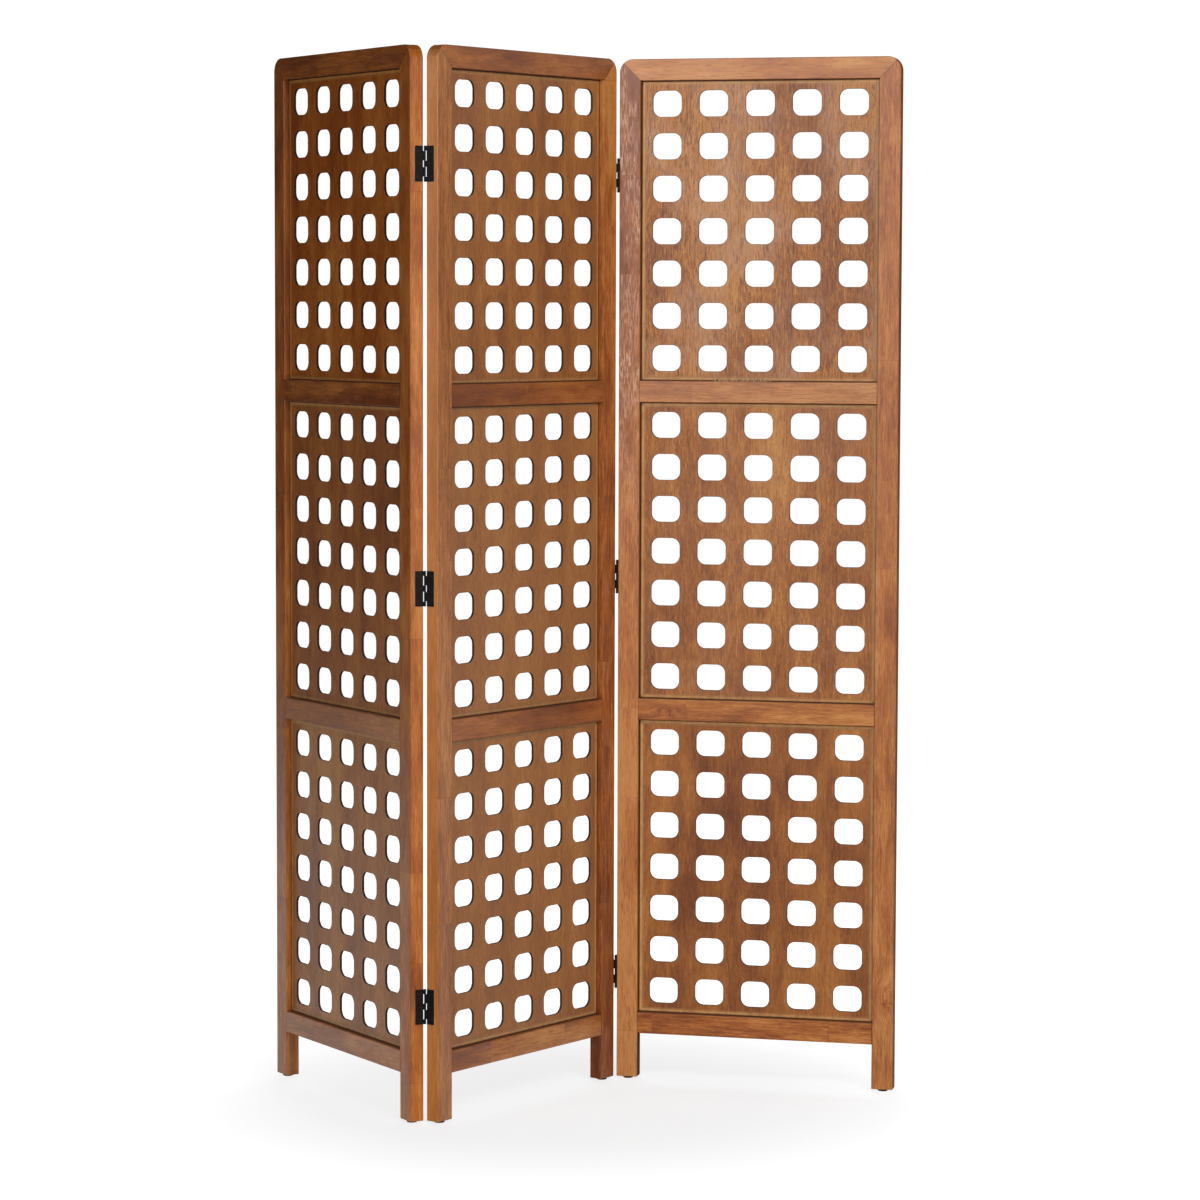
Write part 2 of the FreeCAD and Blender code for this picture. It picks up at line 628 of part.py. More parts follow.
def draw_leaf(knuckles):
    """Leaf rolled round the pin, with three knuckles, or with two between them."""
    body = new_pattern(f"{knuckles}_knuckle_leaf")
    radius, face = "Places.knuckle_radius", "Places.plate_face"
    rolled = new_sketch(body, "rolled_profile", "XY_Plane")
    outline(rolled, [
        (f"-{radius}", "-Sizes.leaf_width"),
        (f"-{radius}", "0", radius, -2),
        (face, f"-sqrt({radius} ^ 2 - {face} ^ 2)"),
        (face, "-Sizes.leaf_width"),
    ])
    circle(rolled, "0", "0", "Places.bore_radius")
    both_ways(body, "rolled_sheet", "Pad", rolled, "Sizes.hinge_height")
    free_edge, top = -number(body, "Sizes.leaf_width"), number(body, "Places.half_hinge")
    dress(body, "free_corners", "Fillet", "Sizes.leaf_corner",
          lambda point: same(point.y, free_edge) and same(abs(point.z), top))

    gap, past = "Sizes.knuckle_gap / 2", "(Places.half_hinge + Sizes.cut_overrun)"
    outer, centre = "Places.outer_knuckle", "Places.centre_knuckle"
    if knuckles == "three":
        notches = [(f"-{outer} - {gap}", f"-{centre} + {gap}"), (f"{centre} - {gap}", f"{outer} + {gap}")]
    else:
        notches = [(f"-{past}", f"-{outer} + {gap}"), (f"-{centre} - {gap}", f"{centre} + {gap}"),
                   (f"{outer} - {gap}", past)]
    notch = new_sketch(body, "notches", "YZ_Plane")
    for low, high in notches:
        rectangle(notch, "-Places.notch_depth", low, f"{radius} + Sizes.cut_overrun", high)
    both_ways(body, "knuckle_notches", "Pocket", notch, f"2 * ({radius} + Sizes.cut_overrun)")

    spots = new_sketch(body, "screw_places", "YZ_Plane", ("0", "0", face))
    for _, rise, distance in SCREWS:
        circle(spots, f"-{distance}", rise, "Sizes.screw_radius")
    holes = body.newObject("PartDesign::Hole", "screw_holes")
    holes.Profile = (spots, [""])
    doc.recompute()
    holes.DepthType = "ThroughAll"
    holes.HoleCutType = "Countersink"
    holes.HoleCutCustomValues = True
    holes.HoleCutCountersinkAngle = 90
    holes.setExpression("Diameter", "2 * (Sizes.screw_radius + Sizes.screw_clearance)")
    holes.setExpression("HoleCutDiameter", "2 * (Sizes.screw_head_radius + Sizes.screw_clearance)")
    return body


def draw_pin():
    """Pin with a low domed head riveted at each end."""
    body = new_pattern("hinge_pin")
    end = "Places.half_hinge"
    head, dome = "Sizes.pin_head_radius", "Sizes.pin_head_height"
    curve = f"({head} ^ 2 + {dome} ^ 2) / (2 * {dome})"
    turned(body, "pin", "XZ_Plane", ("0", "0", "0"), "V_Axis", [
        ("0", f"-({end} + {dome})", curve, 1),
        (head, f"-{end}"),
        ("Sizes.pin_radius", f"-{end}"),
        ("Sizes.pin_radius", end),
        (head, end, curve, 1),
        ("0", f"{end} + {dome}"),
    ])
    return body


def hinged_edges(panel):
    """Joint, edge and face of each edge of a panel that carries hinges."""
    for joint, left_panel, right_panel, face in JOINTS:
        if panel == left_panel:
            yield joint, RIGHT, face
        if panel == right_panel:
            yield joint, LEFT, face


def drill_pilot_holes(body, joint, edge, face):
    """Holes in a stile for the screws of all the leaves on it."""
    spots = new_sketch(body, "pilot_places", "YZ_Plane", ("0", "0", f"{edge} * Places.half_width"))
    for level in LEVELS.values():
        for _, rise, distance in SCREWS:
            circle(spots, f"{face} * (Places.pin_back - {distance})",
                   f"{level} + Sizes.{joint}_hinge_lift + {rise}",
                   "Sizes.screw_radius + Sizes.screw_clearance")
    both_ways(body, "pilot_holes", "Pocket", spots, "2 * (Sizes.screw_length + Sizes.screw_clearance)")


def fit_screws(body, joint, edge, face):
    """Countersunk screws of all the leaves on one edge, their heads flush with the leaves."""
    head = f"{edge} * (Places.half_width + Sizes.leaf_thickness)"
    lowest = f"{LEVELS['bottom']} + Sizes.{joint}_hinge_lift"
    made = []
    for name, rise, distance in SCREWS:
        spot = (head, f"{face} * (Places.pin_back - {distance})", f"{lowest} + {rise}")
        made.append(turned(body, f"{joint}_{name}_screw", "XY_Plane", spot, "H_Axis", [
            ("0", "0"),
            ("0", "Sizes.screw_head_radius"),
            (f"-{edge} * Places.screw_taper", "Sizes.screw_radius"),
            (f"-{edge} * (Sizes.screw_length - Sizes.screw_point)", "Sizes.screw_radius"),
            (f"-{edge} * Sizes.screw_length", "0"),
        ]))
    slots = new_sketch(body, f"{joint}_slot_outlines", "YZ_Plane", ("0", "0", head))
    for _, rise, distance in SCREWS:
        y, z = f"{face} * (Places.pin_back - {distance})", f"{lowest} + {rise}"
        rectangle(slots, f"{y} - Sizes.screw_slot_width / 2", f"{z} - Sizes.screw_head_radius",
                  f"{y} + Sizes.screw_slot_width / 2", f"{z} + Sizes.screw_head_radius")
    made.append(both_ways(body, f"{joint}_slots", "Pocket", slots, "2 * Sizes.screw_slot_depth"))
    repeat(body, f"{joint}_screws", made, "Places.hinge_spread", str(len(LEVELS)))


def hinge_placement(panel, edge, face, height):
    """Pin's place on a panel, turned so that the leaf lies against the panel's edge."""
    pin = shifted(f"{edge} * Places.pin_out", f"{face} * Places.pin_back", height)
    flip_face = shifted("0", "0", "0", f"rotation(vector(1; 0; 0); 90 * (1 - {face}))")
    flip_edge = shifted("0", "0", "0", f"rotation(vector(0; 1; 0); 90 * (1 - {edge}))")
    return f"Places.{panel} * {pin} * {flip_face} * {flip_edge}"


def make_hinges():
    leaves = {knuckles: draw_leaf(knuckles) for knuckles in ("three", "two")}
    pin = draw_pin()
    for joint, left_panel, right_panel, face in JOINTS:
        for level, height in LEVELS.items():
            centre = f"{height} + Sizes.{joint}_hinge_lift"
            spots = {
                LEFT: hinge_placement(left_panel, RIGHT, face, centre),
                RIGHT: hinge_placement(right_panel, LEFT, face, centre),
            }
            pin_side = PIN_SIDES[joint, level]
            for side, spot in spots.items():
                leaf = leaves["three" if side == pin_side else "two"]
                new_piece(f"{joint}_{level}_hinge_{SIDES[side]}_leaf", spot, leaf)
            new_piece(f"{joint}_{level}_hinge_pin", spots[pin_side], pin)


def make_panels():
    stiles = {edge: draw_stile(edge) for edge in (LEFT, RIGHT)}
    top_rail = draw_top_rail()
    mid_rail = draw_rail("mid_rail", "Places.mid_rail_base", "Sizes.mid_rail_height", True)
    bottom_rail = draw_rail(
        "bottom_rail", "Places.bottom_rail_base", "Sizes.bottom_rail_height", False
    )
    board, glide, nails, dowels = draw_board(), draw_glide(), draw_nails(), draw_dowels()
    for panel in PANELS:
        spot = f"Places.{panel}"
        sides = {edge: new_piece(f"{panel}_{SIDES[edge]}_stile", spot, stiles[edge]) for edge in SIDES}
        new_piece(f"{panel}_top_rail", spot, top_rail)
        new_piece(f"{panel}_upper_rail", f"{spot} * {shifted('0', '0', 'Places.board_pitch')}", mid_rail)
        new_piece(f"{panel}_lower_rail", spot, mid_rail)
        new_piece(f"{panel}_bottom_rail", spot, bottom_rail)
        for index, level in enumerate(BOARDS):
            lift = shifted("0", "0", f"{index} * Places.board_pitch")
            new_piece(f"{panel}_{level}_board", f"{spot} * {lift}", board)
        for edge, side in SIDES.items():
            leg = shifted(f"{edge} * Places.leg_centre", "0", "0")
            new_piece(f"{panel}_{side}_glide", f"{spot} * {leg}", glide)
        new_piece(f"{panel}_glide_nails", spot, nails)
        new_piece(f"{panel}_dowels", spot, dowels)
        screws = new_piece(f"{panel}_hinge_screws", spot)
        for joint, edge, face in hinged_edges(panel):
            drill_pilot_holes(sides[edge], joint, edge, face)
            fit_screws(screws, joint, edge, face)


# Checks and files

def check_document():
    doc.recompute()
    failed = [item.Name for item in doc.Objects if {"Invalid", "Error"} & set(item.State)]
    if failed:
        raise RuntimeError(f"failed objects: {failed}")
    for item in doc.Objects:
        cuts = item.TypeId in ("PartDesign::Pocket", "PartDesign::Hole") or "Subtractive" in item.TypeId
        if cuts and not item.Shape.Volume < item.BaseFeature.Shape.Volume:
            raise RuntimeError(f"{item.Name} cuts nothing")
    for body in patterns + pieces:
        unchanged = body.Tip.TypeId == "PartDesign::FeatureBase"
        if body.Shape.isNull() or not body.Shape.Solids:
            raise RuntimeError(f"{body.Label} is empty")
        if not unchanged and not body.Shape.isValid():
            raise RuntimeError(f"{body.Label} is not valid")


def write_files():
    os.makedirs("parts", exist_ok=True)
    for body in pieces:
        body.Shape.exportStep(f"parts/{body.Label}.step")


fill_sheet()
work_out_panel()
work_out_openings()
work_out_hinges()
work_out_stance()
doc.recompute()
make_panels()
make_hinges()
check_document()
write_files()
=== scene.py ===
import math

import bpy
from mathutils import Euler, Matrix, Vector


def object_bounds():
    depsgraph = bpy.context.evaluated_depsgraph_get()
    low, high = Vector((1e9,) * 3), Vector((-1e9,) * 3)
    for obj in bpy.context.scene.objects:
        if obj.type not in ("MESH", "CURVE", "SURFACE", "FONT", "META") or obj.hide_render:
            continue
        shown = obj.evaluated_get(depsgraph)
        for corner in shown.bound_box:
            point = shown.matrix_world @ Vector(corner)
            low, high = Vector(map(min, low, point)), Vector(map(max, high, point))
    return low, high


# Looks of the folding screen: stained hardwood frames, pierced plywood boards, black hinges.
# The materials of stiles, rails and boards work in the piece's own grain space, in metres: X across
# the grain and Y through the thickness, both from the piece's centre line, and Z along the grain
# from the piece's middle.

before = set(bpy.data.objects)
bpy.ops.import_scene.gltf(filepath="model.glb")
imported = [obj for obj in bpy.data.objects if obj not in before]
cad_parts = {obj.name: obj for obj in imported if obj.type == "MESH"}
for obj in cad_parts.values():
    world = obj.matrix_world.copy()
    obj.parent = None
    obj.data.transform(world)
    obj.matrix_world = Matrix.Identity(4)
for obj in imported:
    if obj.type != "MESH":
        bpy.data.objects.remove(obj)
CAD_BOX = [list(corner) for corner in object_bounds()]

MM = 0.001
BODIES = ("left_panel", "middle_panel", "right_panel")


def box_of(node, space=Matrix()):
    """Lowest and highest corner of a node. A node's own space is the row frame."""
    points = [space @ vertex.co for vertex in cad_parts[node].data.vertices]
    return [Vector([pick(values) for values in zip(*points)]) for pick in (min, max)]


def middle_of(node):
    low, high = box_of(node)
    return (low + high) / 2


def space_of(body):
    """A panel's own space: X along it, Y through it and Z up, from the floor between its glides."""
    left, right = (middle_of(f"{body}_{side}_glide") for side in ("left", "right"))
    middle, along = (left + right) / 2, right - left
    turn = math.atan2(along.y, along.x)
    return Matrix.Translation((middle.x, middle.y, 0)) @ Matrix.Rotation(turn, 4, "Z")


SPACES = {body: space_of(body) for body in BODIES}

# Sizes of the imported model, the same in every panel
TO_PANEL = SPACES["middle_panel"].inverted()
RAIL_LOW, RAIL_HIGH = box_of("middle_panel_lower_rail", TO_PANEL)
INNER_EDGE = RAIL_HIGH.x
HALF_THICKNESS = RAIL_HIGH.y
STILE = RAIL_HIGH.z - RAIL_LOW.z
HALF_STILE = STILE / 2
HEIGHT = CAD_BOX[1][2]
LEG_END = box_of("middle_panel_left_stile")[0].z
STILE_MIDDLE = (LEG_END + HEIGHT) / 2
OPENING = RAIL_LOW.z - box_of("middle_panel_bottom_rail")[1].z
HALF_BOARD = box_of("middle_panel_lower_board", TO_PANEL)[1].y


def pierced(axis):
    """Half the middle opening of a board, half its straight edge and the spacing, on one axis.

    The widest gaps between the points of the board's shape lie between two openings.
    """
    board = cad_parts["middle_panel_lower_board"].data.vertices
    places = [(TO_PANEL @ vertex.co)[axis] for vertex in board]
    middle = (min(places) + max(places)) / 2
    points = sorted(abs(place - middle) for place in places)
    gaps = [after - before for before, after in zip(points, points[1:])]
    first = next(place for place, gap in enumerate(gaps) if gap > max(gaps) - MM / 10)
    return points[first], points[0], points[first] + points[first + 1]


# Openings of a board, across and up: half their size, half their straight edges and their spacing
HOLE_HALF, HOLE_STRAIGHT, HOLE_PITCH = zip(pierced(0), pierced(2))
HOLE_CORNER = HOLE_HALF[1] - HOLE_STRAIGHT[1]


class Wiring:
    """Adds nodes to a shader tree. A value is a socket, a number, a tuple, or None for no change."""

    def __init__(self, tree):
        self.tree = tree

    def put(self, socket, value):
        if isinstance(value, bpy.types.NodeSocket):
            self.tree.links.new(value, socket)
        elif value is not None:
            socket.default_value = value

    def node(self, kind, inputs=(), **settings):
        node = self.tree.nodes.new("ShaderNode" + kind)
        for name, value in settings.items():
            setattr(node, name, value)
        pairs = inputs.items() if isinstance(inputs, dict) else enumerate(inputs)
        for key, value in pairs:
            self.put(node.inputs[key], value)
        return node

    def math(self, operation, *values):
        return self.node("Math", values, operation=operation).outputs[0]

    def times(self, first, second):
        return self.math("MULTIPLY", first, second)

    def plus(self, first, second):
        return self.math("ADD", first, second)

    def minus(self, first, second):
        return self.math("SUBTRACT", first, second)

    def times_plus(self, value, factor, addend):
        return self.math("MULTIPLY_ADD", value, factor, addend)

    def size(self, value):
        return self.math("ABSOLUTE", value)

    def vector(self, operation, *values):
        node = self.node("VectorMath", values, operation=operation)
        return node.outputs["Value" if operation == "LENGTH" else "Vector"]

    def split(self, vector):
        return self.node("SeparateXYZ", (vector,)).outputs

    def join(self, *values):
        return self.node("CombineXYZ", values).outputs[0]

    def steps(self, value, low, high, start=0.0, end=1.0):
        """A smooth step from start, where the value is low, to end, where it is high."""
        node = self.node("MapRange", (value, low, high, start, end), interpolation_type="SMOOTHSTEP")
        return node.outputs[0]

    def spread(self, value, low, high, start, end):
        """An even slope from start to end."""
        return self.node("MapRange", (value, low, high, start, end)).outputs[0]

    def mix(self, factor, first, second, blend="MIX"):
        """Two colours mixed. The node has its colours in sockets 6 and 7 and gives one in socket 2."""
        node = self.node("Mix", (), data_type="RGBA", blend_type=blend)
        self.put(node.inputs[0], factor)
        self.put(node.inputs[6], first)
        self.put(node.inputs[7], second)
        return node.outputs[2]

    def ramp(self, value, stops):
        node = self.node("ValToRGB", (value,))
        elements = node.color_ramp.elements
        while len(elements) < len(stops):
            elements.new(0.5)
        for element, (place, colour) in zip(elements, stops):
            element.position = place
            element.color = (*colour, 1)
        return node.outputs[0]

    def noise(self, place, shift, across, along, detail=2.0, roughness=0.5, distortion=0.0):
        """Noise drawn out along the grain, with so many changes to the metre across and along."""
        stretched = self.vector("MULTIPLY", place, (across, across, along))
        moved = self.vector("ADD", stretched, shift)
        values = {"Vector": moved, "Scale": 1.0, "Detail": detail, "Roughness": roughness}
        return self.node("TexNoise", {**values, "Distortion": distortion}).outputs[0]

    def chance(self, number):
        """A number from 0 to 1 that belongs to a whole number."""
        return self.node("TexWhiteNoise", {"W": number}, noise_dimensions="1D").outputs["Value"]

    def tone(self, place, shift, layers):
        """Sum of layers of noise, round nought."""
        tone = 0.0
        for across, along, detail, roughness, share in layers:
            noise = self.noise(place, shift, across, along, detail, roughness)
            tone = self.times_plus(self.minus(noise, 0.5), share * 2, tone)
        return tone


def new_group(name, inputs):
    """A node group with these inputs and the outputs that every finish has."""
    group = bpy.data.node_groups.new(name, "ShaderNodeTree")
    outputs = {"Color": ("Colour",), "Float": ("Roughness", "Height")}
    for direction, sockets in (("INPUT", inputs), ("OUTPUT", outputs)):
        for kind, names in sockets.items():
            for socket in names:
                group.interface.new_socket(socket, in_out=direction, socket_type="NodeSocket" + kind)
    source = group.nodes.new("NodeGroupInput").outputs
    return group, Wiring(group), source


def close_group(w, colour, roughness, height):
    sink = w.tree.nodes.new("NodeGroupOutput")
    w.put(sink.inputs["Colour"], colour)
    w.put(sink.inputs["Roughness"], roughness)
    w.put(sink.inputs["Height"], height)


# Tone of the stained hardwood and of the stained plywood, from the darkest streaks to the lightest
FRAME_TONES = (
    (0.00, (0.200, 0.046, 0.006)),
    (0.25, (0.310, 0.080, 0.010)),
    (0.50, (0.440, 0.129, 0.017)),
    (0.75, (0.565, 0.192, 0.030)),
    (1.00, (0.680, 0.285, 0.062)),
)
BOARD_TONES = (
    (0.00, (0.175, 0.043, 0.006)),
    (0.25, (0.270, 0.075, 0.010)),
    (0.50, (0.380, 0.120, 0.016)),
    (0.75, (0.490, 0.176, 0.029)),
    (1.00, (0.600, 0.265, 0.060)),
)

# Thinly stained wood, and what a redder stain leaves of the tone
OLIVE = (0.420, 0.175, 0.058, 1)
RED_STAIN = (0.930, 0.620, 0.480, 1)

# Layers of grain: changes to the metre across and along, detail, roughness and share of the tone.
# The broad ones are equally strong in every piece, and the fine ones as strong as its Figure says.
FRAME_BROAD = (
    (14, 3.5, 2.0, 0.50, 0.65),
    (50, 14.0, 2.0, 0.55, 0.40),
)
FRAME_FINE = (
    (260, 14.0, 2.0, 0.55, 0.34),
    (430, 36.0, 3.0, 0.65, 0.48),
    (1100, 90.0, 2.0, 0.60, 0.34),
)
BOARD_BROAD = (
    (9, 3.0, 2.0, 0.50, 0.62),
    (32, 10.0, 2.0, 0.55, 0.34),
)
BOARD_FINE = (
    (250, 22.0, 2.0, 0.55, 0.24),
    (430, 52.0, 3.0, 0.65, 0.58),
    (1100, 140.0, 2.0, 0.60, 0.46),
)

# Other noises of the hardwood: changes to the metre across and along, detail, roughness, distortion
FRAME_WANDER = (5, 1.1, 1.0)
FRAME_BLOTCH = (40, 10, 3.0, 0.6, 0.5)
FRAME_PORES = (760, 50, 1.0)
SILVER_CLUSTERS = (30, 9, 2.0, 0.6)
SILVER_STREAKS = (420, 42, 3.0, 0.7)
SILVER_PATCHES = (70, 14, 3.0, 0.6, 0.8)
PATCHES_SHIFT = (3.1, 8.7, 5.3)
WORN_ARRIS = (160, 24, 2.0)

# Most of a noise lies between these
MOST_NOISE = (0.3, 0.7)

# Where a noise of the hardwood begins to show, and where it shows in full
PORE_BAND = (0.58, 0.72)
STREAK_BAND = (0.46, 0.60)
CLUSTER_BAND = (0.35, 0.60)
DARK_STREAK_BAND = (0.38, 0.50)
PATCH_BAND = (0.52, 0.62)
WORN_BAND = (0.35, 0.65)

# How strongly each shows, and where along a stile or rail the silvery figure of painted sheen grows, and how
# much
PORE_STRENGTH = 0.40
DARK_STREAK_STRENGTH = 0.8
PATCH_STRENGTH = 0.6
STAVE_LINE_STRENGTH = 0.22
SEAM_STRENGTH = 0.75
ARRIS_STRENGTH = (0.15, 0.5)
PAINTED_SHEEN_RISE = (-50 * MM, 450 * MM)
SILVER_SHARES = (0.1, 1.0)

# Staves to the metre of a stile or rail, how their ends sway, and how far apart their grain is
STAVES = 3.9
STAVE_SWAY_RATE = 8.0
STAVE_SWAY = 0.35
STAVE_APART = (23.0, 17.0)

# How far the grain wanders sideways, and how a knot is shaped and draws and rings it
FRAME_SWAY = 30 * MM
SMALLEST_KNOT = 0.001 * MM
KNOT_SHAPE = (1, 0, 0.42)
KNOT_BEND = 1.6
KNOT_RINGS = 9.0
RING_TONE = (0.16, -0.22)

# Shares of the blotches and of a stave's own wood in the tone, of the tone in the relief, and
# roughness from the smoothest blotches to the roughest
FRAME_BLOTCH_SHARE = 0.45
STAVE_CONTRAST = 0.14
FRAME_RELIEF = 0.5
FRAME_ROUGHNESS = (0.36, 0.50)
PORE_ROUGHNESS = 0.15

# Where lines and stains of the hardwood, and the painted shade beside the board, begin to fade, and where
# they have gone
STAVE_JOINT = (0.2 * MM, 0.7 * MM)
ARRIS_STAIN = (0.4 * MM, 1.8 * MM)
SIDE_SKIN = (0.2 * MM, 0.6 * MM)
GROOVE_SHADE = (1 * MM, 9 * MM)
SEAM = (0.25 * MM, 0.9 * MM)

# Colours laid on the tone of the hardwood
FRAME_PORE = (0.150, 0.038, 0.006, 1)
# Pale flecks of painted sheen
PAINTED_SHEEN_FLECK = (0.720, 0.430, 0.270, 1)
DARK_STREAK = (0.210, 0.058, 0.015, 1)
DARK_PATCH = (0.250, 0.075, 0.020, 1)
STAVE_LINE = (0.090, 0.026, 0.008, 1)
ARRIS = (0.20, 0.055, 0.018, 1)
# Painted shade on the wall of the frame beside the board
GROOVE_SHADE_COLOUR = (0.050, 0.016, 0.006, 1)
EDGE_LIGHT = (0.66, 0.240, 0.042, 1)
SEAM_DARK = (0.06, 0.018, 0.008, 1)


def staves(w, along, shift):
    """Staves joined end to end: each one's own number and shift of the grain, and their joints."""
    start, phase, kind = w.split(shift)
    sway = w.math("SINE", w.times_plus(along, STAVE_SWAY_RATE, phase))
    count = w.times_plus(sway, STAVE_SWAY, w.times_plus(along, STAVES, start))
    own = w.chance(w.plus(w.math("FLOOR", count), kind))
    apart_across, apart_along = STAVE_APART
    own_shift = w.vector("ADD", shift, w.join(w.times(own, apart_across), 0.0, w.times(own, apart_along)))
    to_end = w.minus(0.5, w.size(w.minus(w.math("FRACT", count), 0.5)))
    clear, gone = STAVE_JOINT
    joint = w.steps(to_end, clear * STAVES, gone * STAVES, STAVE_LINE_STRENGTH, 0.0)
    return own, own_shift, joint


def turned_grain(w, place, shift, knot_place, knot_size):
    """The grain wanders, and turns round a knot. Gives the grain, the rings' radius and the knot."""
    sway = w.times(w.minus(w.noise(place, shift, *FRAME_WANDER), 0.5), FRAME_SWAY)
    from_knot = w.vector("MULTIPLY", w.vector("SUBTRACT", place, knot_place), KNOT_SHAPE)
    radius = w.math("DIVIDE", w.vector("LENGTH", from_knot), w.math("MAXIMUM", knot_size, SMALLEST_KNOT))
    knot = w.math("EXPONENT", w.times(w.times(radius, radius), -1.0))
    bend = w.times(knot, w.times(knot_size, KNOT_BEND))
    grain = w.vector("ADD", place, w.join(w.plus(sway, bend), 0.0, 0.0))
    return grain, radius, knot


def sheen_flecks_and_figure(w, colour, grain, shift, amount):
    """Pale greyish flecks of painted sheen on the lacquer, with darker streaks and patches of grain between
    them.
    """
    clusters = w.noise(grain, shift, *SILVER_CLUSTERS)
    streaks = w.noise(grain, shift, *SILVER_STREAKS)
    silver = w.times(w.steps(streaks, *STREAK_BAND), w.steps(clusters, *CLUSTER_BAND))
    colour = w.mix(w.times(silver, amount), colour, PAINTED_SHEEN_FLECK)
    dark = w.times(w.steps(streaks, *DARK_STREAK_BAND, DARK_STREAK_STRENGTH, 0.0), amount)
    colour = w.mix(dark, colour, DARK_STREAK)
    patches = w.noise(grain, PATCHES_SHIFT, *SILVER_PATCHES)
    patches = w.steps(patches, *PATCH_BAND, 0.0, PATCH_STRENGTH)
    return w.mix(w.times(patches, amount), colour, DARK_PATCH)


def arris_stain_and_groove_shade(w, colour, place, shift, board_side, groove_shade_amount, edge_amount):
    """Stain gathers on the arrises, shade is painted on the wall beside the board, and the outer side face is
    lighter.
    """
    across, through, _ = w.split(place)
    to_side = w.minus(HALF_STILE, w.size(across))
    to_face = w.minus(HALF_THICKNESS, w.size(through))
    worn = w.steps(w.noise(place, shift, *WORN_ARRIS), *WORN_BAND, *ARRIS_STRENGTH)
    on_arris = w.steps(w.plus(to_side, to_face), *ARRIS_STAIN, 1.0, 0.0)
    colour = w.mix(w.times(on_arris, worn), colour, ARRIS)

    near, far = SIDE_SKIN
    side = w.times(across, board_side)
    on_one = w.steps(side, HALF_STILE - far, HALF_STILE - near)
    has_both = w.math("LESS_THAN", w.size(board_side), 0.5)
    on_both = w.times(has_both, w.steps(to_side, near, far, 1.0, 0.0))
    # Painted shade on the wall beside the board, darkest next to the board
    clear, gone = GROOVE_SHADE
    by_board = w.steps(w.size(through), HALF_BOARD + clear, HALF_BOARD + gone, 1.0, 0.0)
    painted_groove_shade = w.times(w.math("MAXIMUM", on_one, on_both), by_board)
    colour = w.mix(w.times(painted_groove_shade, groove_shade_amount), colour, GROOVE_SHADE_COLOUR)

    outside = w.steps(w.times(side, -1.0), HALF_STILE - far, HALF_STILE - near)
    return w.mix(w.times(outside, edge_amount), colour, EDGE_LIGHT)


def make_frame_group():
    """Hardwood of the stiles and rails, round the piece's own centre line."""
    inputs = {
        "Vector": ("Place", "Shift", "Knot"),
        "Float": ("Joint", "Knot size", "Tint", "Fade", "Figure", "Board side", "Groove", "Silver", "Edge",
                  "Olive", "Red"),
    }
    group, w, source = new_group("stained hardwood", inputs)
    place = source["Place"]
    _, _, along = w.split(place)
    stave, shift, stave_joint = staves(w, along, source["Shift"])
    grain, radius, knot = turned_grain(w, place, shift, source["Knot"], source["Knot size"])

    tone = w.plus(w.tone(grain, source["Shift"], FRAME_BROAD), 0.5)
    tone = w.times_plus(w.tone(grain, shift, FRAME_FINE), source["Figure"], tone)
    blotch = w.noise(grain, shift, *FRAME_BLOTCH)
    tone = w.times_plus(w.minus(blotch, 0.5), FRAME_BLOTCH_SHARE, tone)
    rings = w.math("SINE", w.times(radius, KNOT_RINGS))
    rings = w.times(w.times_plus(rings, *RING_TONE), knot)
    tone = w.plus(w.plus(tone, rings), source["Tint"])
    tone = w.times_plus(along, source["Fade"], tone)
    tone = w.times_plus(w.minus(stave, 0.5), STAVE_CONTRAST, tone)
    colour = w.mix(source["Olive"], w.ramp(tone, FRAME_TONES), OLIVE)
    colour = w.mix(source["Red"], colour, RED_STAIN, "MULTIPLY")

    pores = w.steps(w.noise(grain, shift, *FRAME_PORES), *PORE_BAND)
    colour = w.mix(w.times(pores, PORE_STRENGTH), colour, FRAME_PORE)
    # The painted sheen grows towards the top of a stile, or the right of a rail
    sheen_and_figure_amount = w.times(source["Silver"], w.steps(along, *PAINTED_SHEEN_RISE, *SILVER_SHARES))
    colour = sheen_flecks_and_figure(w, colour, grain, shift, sheen_and_figure_amount)
    colour = w.mix(stave_joint, colour, STAVE_LINE)
    colour = arris_stain_and_groove_shade(w, colour, place, shift, source["Board side"], source["Groove"], source["Edge"])
    seam = w.steps(source["Joint"], *SEAM, SEAM_STRENGTH, 0.0)
    colour = w.mix(seam, colour, SEAM_DARK)

    roughness = w.spread(blotch, *MOST_NOISE, *FRAME_ROUGHNESS)
    roughness = w.times_plus(pores, PORE_ROUGHNESS, roughness)
    height = w.minus(w.times(tone, FRAME_RELIEF), w.plus(pores, seam))
    close_group(w, colour, roughness, height)
    return group


# Other noises of the plywood: changes to the metre across and along, detail, roughness, distortion
BOARD_WANDER = (4, 1.5, 1.0)
BOARD_BLOTCH = (34, 13, 3.0, 0.65, 0.6)
BOARD_PORES = (620, 62, 2.0, 0.6)
HAZE_CLOUD = (11, 7, 2.0, 0.6)
HAZE_FLECKS = (480, 60, 2.0, 0.6)
RAGGED = (70, 45, 3.0, 0.6)
CHIPS = (260, 500, 3.0, 0.7)
FIBRES = (700, 120, 2.0)

# Where a noise of the plywood begins to show, where it shows in full, and how strongly
BOARD_PORE_BAND = (0.54, 0.66)
PORE_CLEAR_BAND = (0.65, 0.35)
PORE_DEPTHS = (0.30, 0.70)
CLOUD_BAND = (0.42, 0.66)
FLECK_BAND = (0.40, 0.62)
FLECK_SHARES = (0.25, 1.0)
BORDER_SHARES = (0.5, 0.9)
CHIP_BAND = (0.42, 0.62)
STEP_STRENGTH = 0.38
CORNER_STRENGTH = 0.94
RIM_STRENGTH = 0.6

# Leaves of veneer to the metre across a board, and how far the grain wanders sideways
VENEERS = 11.0
BOARD_SWAY = 40 * MM

